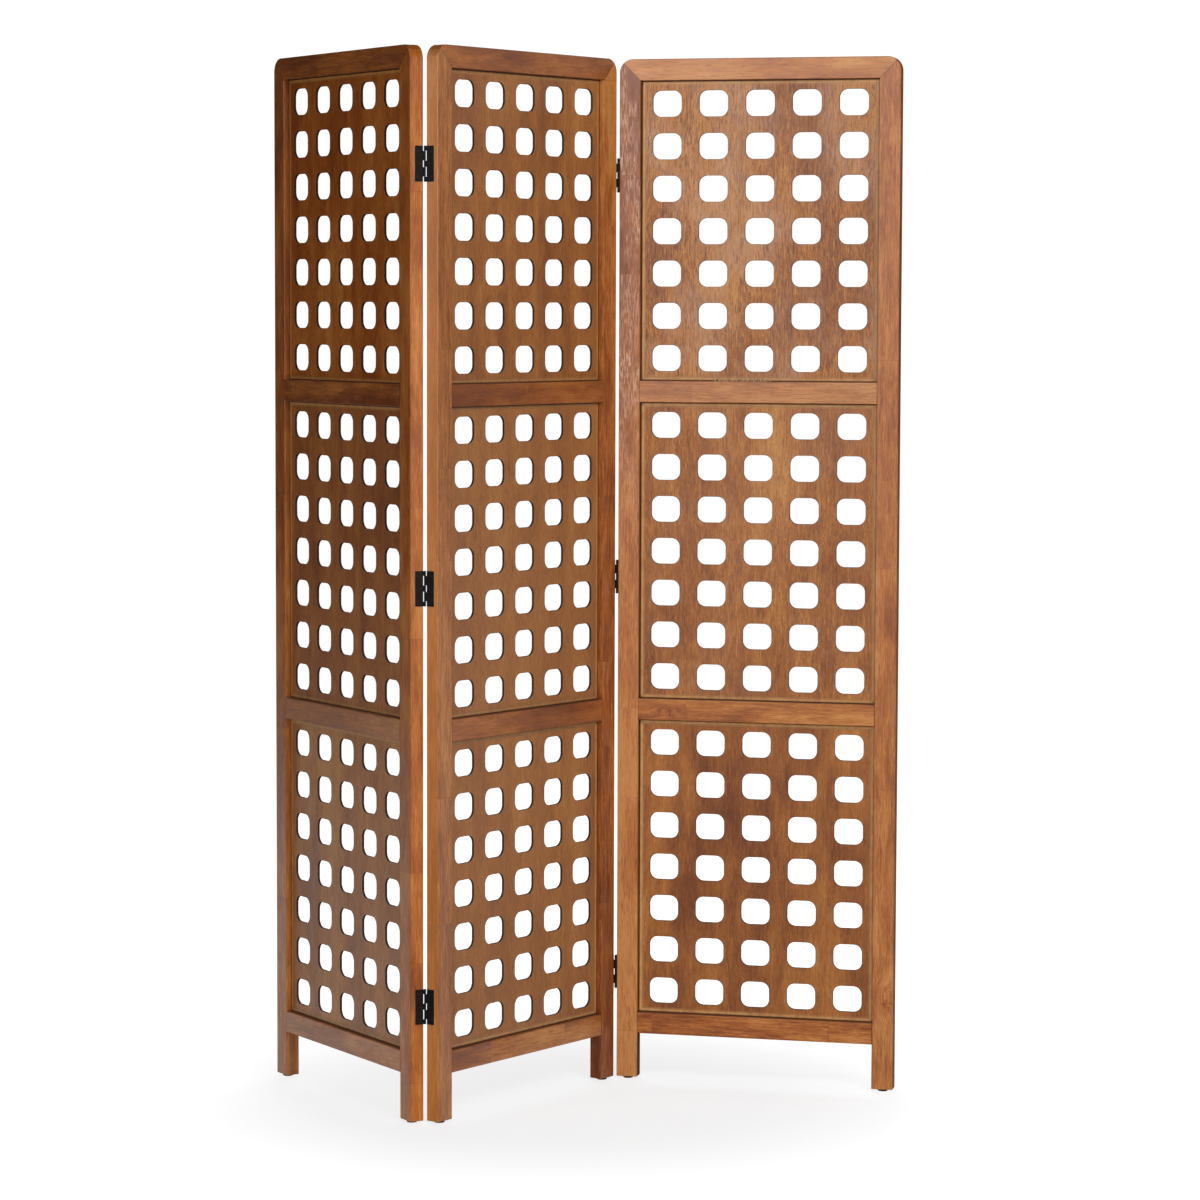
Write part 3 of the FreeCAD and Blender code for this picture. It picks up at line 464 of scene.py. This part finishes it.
# Shares of the blotches and of a veneer's own wood in the tone, of the tone in the relief, and
# roughness from the smoothest blotches to the roughest, and what a cut edge or corner adds to it
BOARD_BLOTCH_SHARE = 0.40
VENEER_CONTRAST = 0.19
BOARD_RELIEF = 0.6
BOARD_ROUGHNESS = (0.42, 0.56)
CUT_ROUGHNESS = 0.30

# Beside the frame: the pale border, the step line in it and the painted shade in the corner
BORDER = (5 * MM, 10 * MM)
STEP_PLACE = 7 * MM
STEP = (0.3 * MM, 1.3 * MM)
CORNER = (1.3 * MM, 2.8 * MM)

# Torn fibres: their middle across the board, half their length and their height above the rail
TORN_PLACE = -30 * MM
TORN_HALF_LENGTH = (40 * MM, 58 * MM)
TORN_HEIGHT = (1.5 * MM, 7 * MM)

# Round an opening: the dark rim on the face, how ragged it is, the cut edge and its plies
RIM = (0.2 * MM, 1.4 * MM)
RIM_RAGGED = 1.6 * MM
CUT_EDGE = (0.05 * MM, 0.35 * MM)
PLY = 1.33 * MM

# Colours laid on the tone of the plywood
BOARD_PORE = (0.135, 0.038, 0.007, 1)
# Pale haze of painted sheen on the lacquer
PAINTED_SHEEN_HAZE = (0.600, 0.340, 0.215, 1)
BORDER_LIGHT = (0.740, 0.385, 0.125, 1)
STEP_DARK = (0.190, 0.065, 0.018, 1)
CORNER_PAINTED_SHADE = (0.060, 0.018, 0.006, 1)
TORN_COLOURS = (
    (0.42, (0.05, 0.018, 0.008)),
    (0.56, (0.66, 0.42, 0.20)),
)
RIM_DARK = (0.115, 0.036, 0.014, 1)
PLY_DARK = (0.030, 0.011, 0.007, 1)
PLY_LIGHT = (0.060, 0.022, 0.012, 1)


def hazy_lacquer_sheen(w, colour, place, grain, shift, amount):
    """Pale haze painted on the lacquer in short upright flecks, a painted sheen."""
    cloud = w.noise(place, shift, *HAZE_CLOUD)
    flecks = w.noise(grain, shift, *HAZE_FLECKS)
    haze = w.times(w.steps(cloud, *CLOUD_BAND), w.steps(flecks, *FLECK_BAND, *FLECK_SHARES))
    return w.mix(w.times(haze, amount), colour, PAINTED_SHEEN_HAZE)


def board_border(w, colour, across, up, ragged, amount):
    """The stain is thin beside the frame, and shade is painted in the corner against it."""
    to_stile = w.minus(INNER_EDGE, w.size(across))
    to_rail = w.minus(OPENING / 2, w.size(up))
    to_frame = w.math("MINIMUM", to_stile, to_rail)
    thin = w.minus(1.0, w.steps(to_frame, *BORDER))
    thin = w.times(thin, w.steps(ragged, *MOST_NOISE, *BORDER_SHARES))
    colour = w.mix(w.times(thin, amount), colour, BORDER_LIGHT)
    step = w.steps(w.size(w.minus(to_frame, STEP_PLACE)), *STEP, STEP_STRENGTH, 0.0)
    colour = w.mix(step, colour, STEP_DARK)
    # Painted shade in the corner where the board meets the frame
    corner = w.steps(to_frame, *CORNER, CORNER_STRENGTH, 0.0)
    return w.mix(corner, colour, CORNER_PAINTED_SHADE), corner


def torn_fibres(w, colour, place, across, up, shift, amount):
    """Torn fibres along the lower edge."""
    ends = w.steps(w.size(w.minus(across, TORN_PLACE)), *TORN_HALF_LENGTH, 1.0, 0.0)
    height = w.steps(w.noise(place, shift, *CHIPS), *CHIP_BAND, *TORN_HEIGHT)
    torn = w.times(w.math("LESS_THAN", w.plus(up, OPENING / 2), height), ends)
    fibres = w.ramp(w.noise(place, shift, *FIBRES), TORN_COLOURS)
    return w.mix(w.times(torn, amount), colour, fibres)


def distance_to_hole(w, across, up):
    """How far a place on a board is from the wall of the nearest opening."""
    beyond = []
    for value, pitch, half in zip((across, up), HOLE_PITCH, HOLE_HALF):
        from_middle = w.size(w.math("WRAP", value, pitch / 2, -pitch / 2))
        beyond.append(w.math("MAXIMUM", w.minus(from_middle, half - HOLE_CORNER), 0.0))
    return w.minus(w.vector("LENGTH", w.join(*beyond, 0.0)), HOLE_CORNER)


def cut_edges(w, colour, across, through, up, ragged):
    """A dark rim round every opening, and the plies on its wall."""
    to_hole = distance_to_hole(w, across, up)
    uneven = w.times_plus(w.minus(ragged, 0.5), RIM_RAGGED, to_hole)
    colour = w.mix(w.steps(uneven, *RIM, RIM_STRENGTH, 0.0), colour, RIM_DARK)
    wall = w.steps(to_hole, *CUT_EDGE, 1.0, 0.0)
    plies = w.math("SINE", w.times(through, 2 * math.pi / PLY))
    plies = w.mix(w.spread(plies, -1, 1, 0, 1), PLY_DARK, PLY_LIGHT)
    return w.mix(wall, colour, plies), wall


def make_board_group():
    """Stained plywood, its grain upright, round the middle of the board."""
    inputs = {
        "Vector": ("Place", "Shift"),
        "Float": ("Tint", "Figure", "Olive", "Red", "Border", "Chips", "Haze"),
    }
    group, w, source = new_group("stained plywood", inputs)
    place, shift = source["Place"], source["Shift"]
    sway = w.times(w.minus(w.noise(place, shift, *BOARD_WANDER), 0.5), BOARD_SWAY)
    grain = w.vector("ADD", place, w.join(sway, 0.0, 0.0))

    tone = w.plus(w.tone(grain, shift, BOARD_BROAD), 0.5)
    tone = w.times_plus(w.tone(grain, shift, BOARD_FINE), source["Figure"], tone)
    blotch = w.noise(grain, shift, *BOARD_BLOTCH)
    tone = w.times_plus(w.minus(blotch, 0.5), BOARD_BLOTCH_SHARE, tone)
    side, _, _ = w.split(grain)
    start, _, _ = w.split(shift)
    veneer = w.chance(w.math("FLOOR", w.times_plus(side, VENEERS, start)))
    tone = w.times_plus(w.minus(veneer, 0.5), VENEER_CONTRAST, tone)
    tone = w.plus(tone, source["Tint"])
    colour = w.mix(source["Olive"], w.ramp(tone, BOARD_TONES), OLIVE)
    colour = w.mix(source["Red"], colour, RED_STAIN, "MULTIPLY")

    pores = w.steps(w.noise(grain, shift, *BOARD_PORES), *BOARD_PORE_BAND)
    depth = w.times(w.steps(blotch, *PORE_CLEAR_BAND, *PORE_DEPTHS), source["Figure"])
    colour = w.mix(w.times(pores, depth), colour, BOARD_PORE)
    colour = hazy_lacquer_sheen(w, colour, place, grain, shift, source["Haze"])
    across, through, up = w.split(place)
    ragged = w.noise(place, shift, *RAGGED)
    colour, corner = board_border(w, colour, across, up, ragged, source["Border"])
    colour = torn_fibres(w, colour, place, across, up, shift, source["Chips"])
    colour, wall = cut_edges(w, colour, across, through, up, ragged)

    roughness = w.spread(blotch, *MOST_NOISE, *BOARD_ROUGHNESS)
    roughness = w.times_plus(w.math("MAXIMUM", wall, corner), CUT_ROUGHNESS, roughness)
    height = w.minus(w.times(tone, BOARD_RELIEF), pores)
    close_group(w, colour, roughness, height)
    return group


# Plain finishes: dark and light colour, roughness, speckles to the metre and their stretch along
PLAIN_FINISHES = {
    "black_steel": ((0.006, 0.006, 0.007, 1), (0.016, 0.016, 0.018, 1), 0.40, 1800, 1),
    "glide_plastic": ((0.018, 0.010, 0.007, 1), (0.035, 0.020, 0.013, 1), 0.50, 1500, 1),
    "nail_steel": ((0.38, 0.38, 0.39, 1), (0.62, 0.62, 0.63, 1), 0.30, 3000, 12),
    "dowel_wood": ((0.42, 0.26, 0.13, 1), (0.62, 0.42, 0.24, 1), 0.65, 900, 14),
}
SPECKLE_NOISE = (3.0, 0.6)
CLOUD_SIZE = 12
CLOUD_SHARE = 1.2
PLAIN_ROUGHNESS_SPAN = 0.08


def make_plain_group(name, dark, light, rough, scale, stretch):
    """A finish with fine speckle and faint clouds: coated steel, bare steel, plastic and beech."""
    group, w, source = new_group(name, {"Vector": ("Place", "Shift")})
    place, shift = source["Place"], source["Shift"]
    speckle = w.noise(place, shift, scale, scale / stretch, *SPECKLE_NOISE)
    cloud = w.noise(place, shift, scale / CLOUD_SIZE, scale / CLOUD_SIZE / stretch)
    amount = w.times_plus(w.minus(cloud, 0.5), CLOUD_SHARE, w.steps(speckle, *MOST_NOISE))
    colour = w.mix(w.math("MAXIMUM", w.math("MINIMUM", amount, 1.0), 0.0), dark, light)
    span = PLAIN_ROUGHNESS_SPAN
    close_group(w, colour, w.spread(speckle, *MOST_NOISE, rough - span, rough + span), speckle)
    return group


FRAME_GROUP = make_frame_group()
BOARD_GROUP = make_board_group()
PLAIN_GROUPS = {name: make_plain_group(name, *finish) for name, finish in PLAIN_FINISHES.items()}


SHIFT_STEPS = (7.31, 3.17, 5.93)
SHIFT_START = (0.0, 11.0, 2.0)


def shift_of(number):
    """A different stretch of every noise for each piece."""
    return tuple(step * number + start for step, start in zip(SHIFT_STEPS, SHIFT_START))


def grain_space(w, body, centre, along_x):
    """From the row frame to a piece's grain space. The centre is in the panel's own space."""
    piece = SPACES[body] @ Matrix.Translation(centre)
    if along_x:
        piece = piece @ Matrix.Rotation(math.radians(90), 4, "Y")
    back = piece.inverted()
    coordinates = w.node("TexCoord").outputs["Object"]
    mapping = w.node("Mapping", (coordinates,), vector_type="POINT")
    mapping.inputs["Location"].default_value = back.to_translation()
    mapping.inputs["Rotation"].default_value = back.to_euler("XYZ")
    return mapping.outputs[0]


def finish_material(w, group, inputs, bump, shader):
    """The group's colour, roughness and height on a shader whose constant values are its own."""
    looks = w.node("Group", (), node_tree=group)
    for name, value in inputs.items():
        w.put(looks.inputs[name], value)
    strength, depth = bump
    height = looks.outputs["Height"]
    raised = w.node("Bump", {"Strength": strength, "Distance": depth, "Height": height})
    surface = w.node("BsdfPrincipled")
    w.put(surface.inputs["Base Color"], looks.outputs["Colour"])
    w.put(surface.inputs["Roughness"], looks.outputs["Roughness"])
    w.put(surface.inputs["Normal"], raised.outputs[0])
    for name, value in shader.items():
        surface.inputs[name].default_value = value
    w.node("OutputMaterial", (surface.outputs[0],))


def new_material(name):
    material = bpy.data.materials.new(name)
    material.use_nodes = True
    material.node_tree.nodes.clear()
    return material, Wiring(material.node_tree)


def dress(node, material):
    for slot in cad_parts[node].material_slots:
        slot.material = material


# What every stile and rail, and every board, has unless LOOKS says otherwise:
# Tint: how much lighter or darker it is
# Fade: how fast a stile grows lighter upwards, or a rail to the right, in tones to the metre
# Figure: how strong the fine grain is
# Olive and Red: how thinly it is stained, and how much redder
# Silver: how much silvery figure it shows, pale flecks of painted sheen with darker grain between them
# Groove and Edge: how dark the painted shade on the wall beside the board is, and how light the outer side
# face
# Knot and Knot size: the knot's middle in grain space, and its size, 0 for none
# Border, Haze and Chips: the light border of a board, the haze of painted sheen on its lacquer and its torn
# fibres
# Sheen: how much it reflects, the shader's specular level
FRAME_LOOKS = {
    "Tint": 0.0, "Fade": 0.0, "Figure": 0.9, "Olive": 0.0, "Red": 0.0, "Silver": 0.0, "Groove": 0.9,
    "Edge": 0.2, "Knot": (1.0, 0.0, 0.0), "Knot size": 0.0, "Sheen": 0.5,
}
BOARD_LOOKS = {
    "Tint": 0.0, "Figure": 0.9, "Olive": 0.0, "Red": 0.0, "Border": 0.6, "Haze": 0.0, "Chips": 0.0,
    "Sheen": 0.5,
}

# Two knots on the front of the right panel, low on its right stile and left on its lower rail
STILE_KNOT = (2 * MM, -HALF_THICKNESS, -745 * MM)
RAIL_KNOT = (0.0, -HALF_THICKNESS, -166 * MM)

# What the photograph shows of each piece
LOOKS = {
    "left_panel": {
        "left_stile": {"Tint": -0.02, "Fade": -0.15, "Groove": 0.35},
        "right_stile": {"Tint": 0.05, "Fade": -0.10, "Red": 0.15, "Edge": 0.0, "Sheen": 0.28},
        "top_rail": {"Tint": -0.25},
        "upper_rail": {"Tint": -0.32},
        "lower_rail": {"Tint": 0.03, "Olive": 0.25, "Silver": 0.3},
        "upper_board": {"Tint": 0.15, "Figure": 0.8, "Red": 0.6, "Sheen": 0.15},
        "middle_board": {
            "Tint": 0.04, "Figure": 0.8, "Olive": 0.15, "Red": 0.25, "Border": 0.8, "Sheen": 0.38,
        },
        "lower_board": {"Tint": 0.18, "Figure": 0.7, "Border": 0.8},
    },
    "middle_panel": {
        "left_stile": {"Tint": 0.05, "Fade": 0.05, "Figure": 1.7, "Olive": 0.25, "Edge": 0.45},
        "right_stile": {"Tint": 0.04, "Fade": 0.30, "Figure": 1.6, "Red": 0.2, "Groove": 0.25},
        "top_rail": {"Tint": -0.06, "Figure": 0.6, "Silver": 0.2},
        "upper_rail": {"Tint": -0.17, "Figure": 0.6},
        "lower_rail": {"Tint": -0.14, "Figure": 0.6},
        "upper_board": {"Tint": 0.03, "Figure": 0.8, "Olive": 0.20},
        "middle_board": {"Tint": 0.20, "Figure": 0.8, "Olive": 0.45},
        "lower_board": {"Tint": 0.09, "Figure": 0.7, "Olive": 0.35, "Border": 0.9},
    },
    "right_panel": {
        "left_stile": {"Tint": 0.18, "Fade": -0.38, "Figure": 1.0, "Red": 0.2, "Silver": 0.8},
        "right_stile": {
            "Tint": 0.08, "Fade": -0.14, "Figure": 1.15, "Red": 0.1, "Knot": STILE_KNOT, "Knot size": 12 * MM,
        },
        "top_rail": {"Tint": 0.11, "Fade": -0.05, "Figure": 0.40, "Silver": 0.2},
        "upper_rail": {"Tint": 0.12, "Olive": 0.2, "Silver": 0.4},
        "lower_rail": {"Tint": 0.01, "Figure": 1.1, "Knot": RAIL_KNOT, "Knot size": 9 * MM, "Sheen": 0.42},
        "bottom_rail": {"Tint": 0.13, "Figure": 1.4, "Red": 0.2, "Sheen": 0.36},
        "upper_board": {
            "Tint": 0.12, "Figure": 1.60, "Olive": 0.1, "Border": 0.9, "Haze": 0.5, "Chips": 1.0,
            "Sheen": 0.4,
        },
        "middle_board": {"Tint": -0.05, "Figure": 1.10, "Border": 0.9, "Haze": 0.12, "Sheen": 0.4},
        "lower_board": {"Tint": -0.04, "Figure": 0.80, "Border": 1.0, "Sheen": 0.38},
    },
}

# Rails from the bottom up, and the side in grain space that faces a board, 0 for both
BOARD_SIDES = {"bottom_rail": -1.0, "lower_rail": 0.0, "upper_rail": 0.0, "top_rail": 1.0}
BOARDS = ("lower_board", "middle_board", "upper_board")

# Constant values of the wood's shaders, and the strength and depth of its relief
FRAME_SHADER = {"IOR": 1.5, "Coat Weight": 0.12, "Coat Roughness": 0.3}
BOARD_SHADER = {"IOR": 1.5}
WOOD_BUMP = (0.5, 0.04 * MM)


# A joint at 45 degrees
MITRE = math.sqrt(0.5)


def butt_gap(w, across, along, board_side):
    """How far a place on a rail is from its square ends."""
    return w.minus(INNER_EDGE, w.size(along))


def rail_mitre_gap(w, across, along, board_side):
    """How far a place on the top rail is from its mitre. The rail is shorter on the board's side."""
    gap = w.plus(w.minus(INNER_EDGE + HALF_STILE, w.size(along)), w.times(across, -board_side))
    return w.times(w.size(gap), MITRE)


def stile_mitre_gap(w, across, along, board_side):
    """How far a place on a stile is from its mitre, which starts at the top rail's lower face."""
    outward = w.times_plus(across, -board_side, HALF_STILE)
    climb = w.minus(along, HEIGHT - STILE - STILE_MIDDLE)
    return w.times(w.size(w.minus(outward, climb)), MITRE)


def dress_wood(body, name, number, centre, along_x, gap_of, board_side):
    """Hardwood for one stile or rail."""
    material, w = new_material(f"{body}_{name}_wood")
    place = grain_space(w, body, centre, along_x)
    across, _, along = w.split(place)
    inputs = {**FRAME_LOOKS, **LOOKS[body].get(name, {})}
    shader = {**FRAME_SHADER, "Specular IOR Level": inputs.pop("Sheen")}
    joint = gap_of(w, across, along, board_side)
    inputs.update({"Place": place, "Shift": shift_of(number), "Joint": joint, "Board side": board_side})
    finish_material(w, FRAME_GROUP, inputs, WOOD_BUMP, shader)
    dress(f"{body}_{name}", material)


def dress_stile(body, side, number):
    sign = {"left": -1.0, "right": 1.0}[side]
    centre = (sign * (INNER_EDGE + HALF_STILE), 0, STILE_MIDDLE)
    dress_wood(body, f"{side}_stile", number, centre, False, stile_mitre_gap, -sign)


def dress_rail(body, name, number):
    centre = (0, 0, middle_of(f"{body}_{name}").z)
    gap_of = rail_mitre_gap if name == "top_rail" else butt_gap
    dress_wood(body, name, number, centre, True, gap_of, BOARD_SIDES[name])


def dress_board(body, name, number):
    material, w = new_material(f"{body}_{name}_plywood")
    place = grain_space(w, body, (0, 0, middle_of(f"{body}_{name}").z), False)
    inputs = {**BOARD_LOOKS, **LOOKS[body].get(name, {})}
    shader = {**BOARD_SHADER, "Specular IOR Level": inputs.pop("Sheen")}
    inputs.update({"Place": place, "Shift": shift_of(number)})
    finish_material(w, BOARD_GROUP, inputs, WOOD_BUMP, shader)
    dress(f"{body}_{name}", material)


# Small pieces by the end of their names: finish, and constant values of the shader
SMALL_PIECES = {
    "glide": ("glide_plastic", {"IOR": 1.46}),
    "glide_nails": ("nail_steel", {"Metallic": 1.0}),
    "dowels": ("dowel_wood", {"IOR": 1.5}),
    "hinge_screws": ("black_steel", {"IOR": 1.5, "Specular IOR Level": 0.20}),
    "leaf": ("black_steel", {"IOR": 1.5, "Specular IOR Level": 0.07}),
    "pin": ("black_steel", {"IOR": 1.5, "Specular IOR Level": 0.10}),
}
SMALL_BUMP = (0.35, 0.1 * MM)


def dress_small_piece(node, finish, shader, number):
    material, w = new_material(f"{node}_{finish}")
    inputs = {"Place": w.node("TexCoord").outputs["Object"], "Shift": shift_of(number)}
    finish_material(w, PLAIN_GROUPS[finish], inputs, SMALL_BUMP, shader)
    dress(node, material)


def dress_object():
    """Every piece in turn, each with its own number for its stretch of the noises."""
    number = 0
    for body in BODIES:
        for side in ("left", "right"):
            number += 1
            dress_stile(body, side, number)
        for name in BOARD_SIDES:
            number += 1
            dress_rail(body, name, number)
        for name in BOARDS:
            number += 1
            dress_board(body, name, number)
    for node in sorted(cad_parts):
        for ending, (finish, shader) in SMALL_PIECES.items():
            if node.endswith("_" + ending):
                number += 1
                dress_small_piece(node, finish, shader, number)


# Studio floor, larger than any view: grey paint that takes the shadow, and a glow that is dimmer near the
# object, a painted shade round its feet
FLOOR_REACH = 60.0
FLOOR_DROP = 0.1 * MM
FLOOR_CLOUDS = (2, 2)
FLOOR_PAINT = ((0.236, 0.240, 0.246, 1), (0.256, 0.260, 0.266, 1))
FLOOR_MIDDLE = (-0.04, 0.0, 0.0)
# Where the painted shade round the object fades out, and the glow at its middle and beyond it
PAINTED_SHADE_DISTANCE = (0.3, 1.0)
GLOW_AND_PAINTED_SHADE = (0.775, 1.02)
WHITE = (1, 1, 1, 1)


def make_floor():
    mesh = bpy.data.meshes.new("floor")
    reach = FLOOR_REACH
    corners = [(-reach, -reach, 0), (reach, -reach, 0), (reach, reach, 0), (-reach, reach, 0)]
    mesh.from_pydata(corners, [], [(0, 1, 2, 3)])
    floor = bpy.data.objects.new("floor", mesh)
    floor.location.z = -FLOOR_DROP
    bpy.context.scene.collection.objects.link(floor)
    material, w = new_material("studio_floor")
    place = w.node("TexCoord").outputs["Object"]
    paint = w.mix(w.noise(place, (0, 0, 0), *FLOOR_CLOUDS), *FLOOR_PAINT)
    matt = w.node("BsdfDiffuse", {"Color": paint})
    away = w.vector("LENGTH", w.vector("SUBTRACT", place, FLOOR_MIDDLE))
    glow = w.node("Emission", {"Color": WHITE, "Strength": w.steps(away, *PAINTED_SHADE_DISTANCE, *GLOW_AND_PAINTED_SHADE)})
    both = w.node("AddShader", (matt.outputs[0], glow.outputs[0]))
    w.node("OutputMaterial", (both.outputs[0],))
    mesh.materials.append(material)
    floor.visible_diffuse = False
    floor.visible_glossy = False
    floor.visible_shadow = False


# White behind the object for the camera, and a dim room for what lights it
AMBIENT = 0.015
BACKDROP = 1.05


def make_world():
    world = bpy.data.worlds.new("studio")
    bpy.context.scene.world = world
    world.use_nodes = True
    world.node_tree.nodes.clear()
    w = Wiring(world.node_tree)
    seen = w.node("LightPath").outputs["Is Camera Ray"]
    strength = w.node("Mix", (seen, None, AMBIENT, BACKDROP)).outputs[0]
    background = w.node("Background", {"Color": WHITE, "Strength": strength})
    w.node("OutputWorld", (background.outputs[0],))


AIM = Vector((0, 0, 0.95))
RING = 4.5


def on_ring(azimuth, elevation):
    """A place round the object. Azimuth 0 is the camera's side, and 90 is to the right."""
    turn, lift = math.radians(azimuth), math.radians(elevation)
    away = Vector((math.sin(turn) * math.cos(lift), -math.cos(turn) * math.cos(lift), math.sin(lift)))
    return AIM + away * RING


# Softboxes: place, aim, width, height, power that lights surfaces, power that shows in their gloss.
# The last three stand in for the bright floor.
LIGHTS = {
    "key": (on_ring(25, 30), AIM, 2.2, 1.6, 98, 0),
    "left": (on_ring(-30, 10), AIM, 2.2, 1.6, 44, 46),
    "left_high": (on_ring(-30, 30), AIM, 2.2, 1.6, 0, 80),
    "left_wide": (on_ring(-50, 10), AIM, 2.2, 1.6, 0, 38),
    "left_wide_high": (on_ring(-50, 30), AIM, 2.2, 1.6, 0, 34),
    "right": (on_ring(45, 10), AIM, 2.2, 1.6, 0, 32),
    "right_low": (on_ring(62, -6), AIM, 2.2, 1.6, 0, 26),
    "right_far": (on_ring(100, 30), AIM, 2.2, 1.6, 0, 36),
    "back": (on_ring(180, 35), AIM, 3.0, 2.0, 95, 40),
    "floor_front": (Vector((0, -3.0, -1.2)), AIM, 4.0, 2.5, 56, 0),
    "floor_right": (Vector((2.2, 0.3, 0.15)), Vector((0, 0, 0.4)), 1.6, 1.6, 0, 12),
    "floor_left": (Vector((-2.2, 0.94, -0.3)), Vector((-0.4, 0, 0.2)), 1.6, 1.4, 0, 8.5),
}


def make_light(name, place, aim, wide, tall, power, for_gloss):
    """A softbox that only the diffuse or only the glossy part of a surface sees."""
    data = bpy.data.lights.new(name, "AREA")
    data.shape = "RECTANGLE"
    data.size = wide
    data.size_y = tall
    data.energy = power
    light = bpy.data.objects.new(name, data)
    light.location = place
    light.rotation_euler = (place - aim).to_track_quat("Z", "Y").to_euler()
    light.visible_diffuse = not for_gloss
    light.visible_glossy = for_gloss
    light.visible_camera = False
    bpy.context.scene.collection.objects.link(light)


def make_lights():
    for name, (place, aim, wide, tall, lit, gloss) in LIGHTS.items():
        if lit:
            make_light(f"{name}_lit", place, aim, wide, tall, lit, False)
        if gloss:
            make_light(f"{name}_gloss", place, aim, wide, tall, gloss, True)


# The photograph's view: place, turn and pitch in degrees, roll in radians, and the focal length in
# pixels of its frame
CAMERA_PLACE = (-29.440 * MM, -6772.692 * MM, 1399.325 * MM)
CAMERA_TURN = -0.4721
CAMERA_PITCH = 4.3761
CAMERA_ROLL = 0.0031
FRAME_PIXELS = 1200
FOCAL_PIXELS = 3891.27
SENSOR = 36.0


def make_camera():
    lens = bpy.data.cameras.new("camera")
    lens.sensor_fit = "HORIZONTAL"
    lens.sensor_width = SENSOR
    lens.lens = FOCAL_PIXELS / FRAME_PIXELS * SENSOR
    camera = bpy.data.objects.new("camera", lens)
    turned = Euler((math.radians(90 - CAMERA_PITCH), 0, math.radians(CAMERA_TURN))).to_matrix().to_4x4()
    rolled = turned @ Matrix.Rotation(CAMERA_ROLL, 4, "Z")
    camera.matrix_world = Matrix.Translation(CAMERA_PLACE) @ rolled
    bpy.context.scene.collection.objects.link(camera)
    bpy.context.scene.camera = camera
    bpy.context.scene.view_settings.view_transform = "Standard"


dress_object()
make_floor()
make_world()
make_lights()
make_camera()
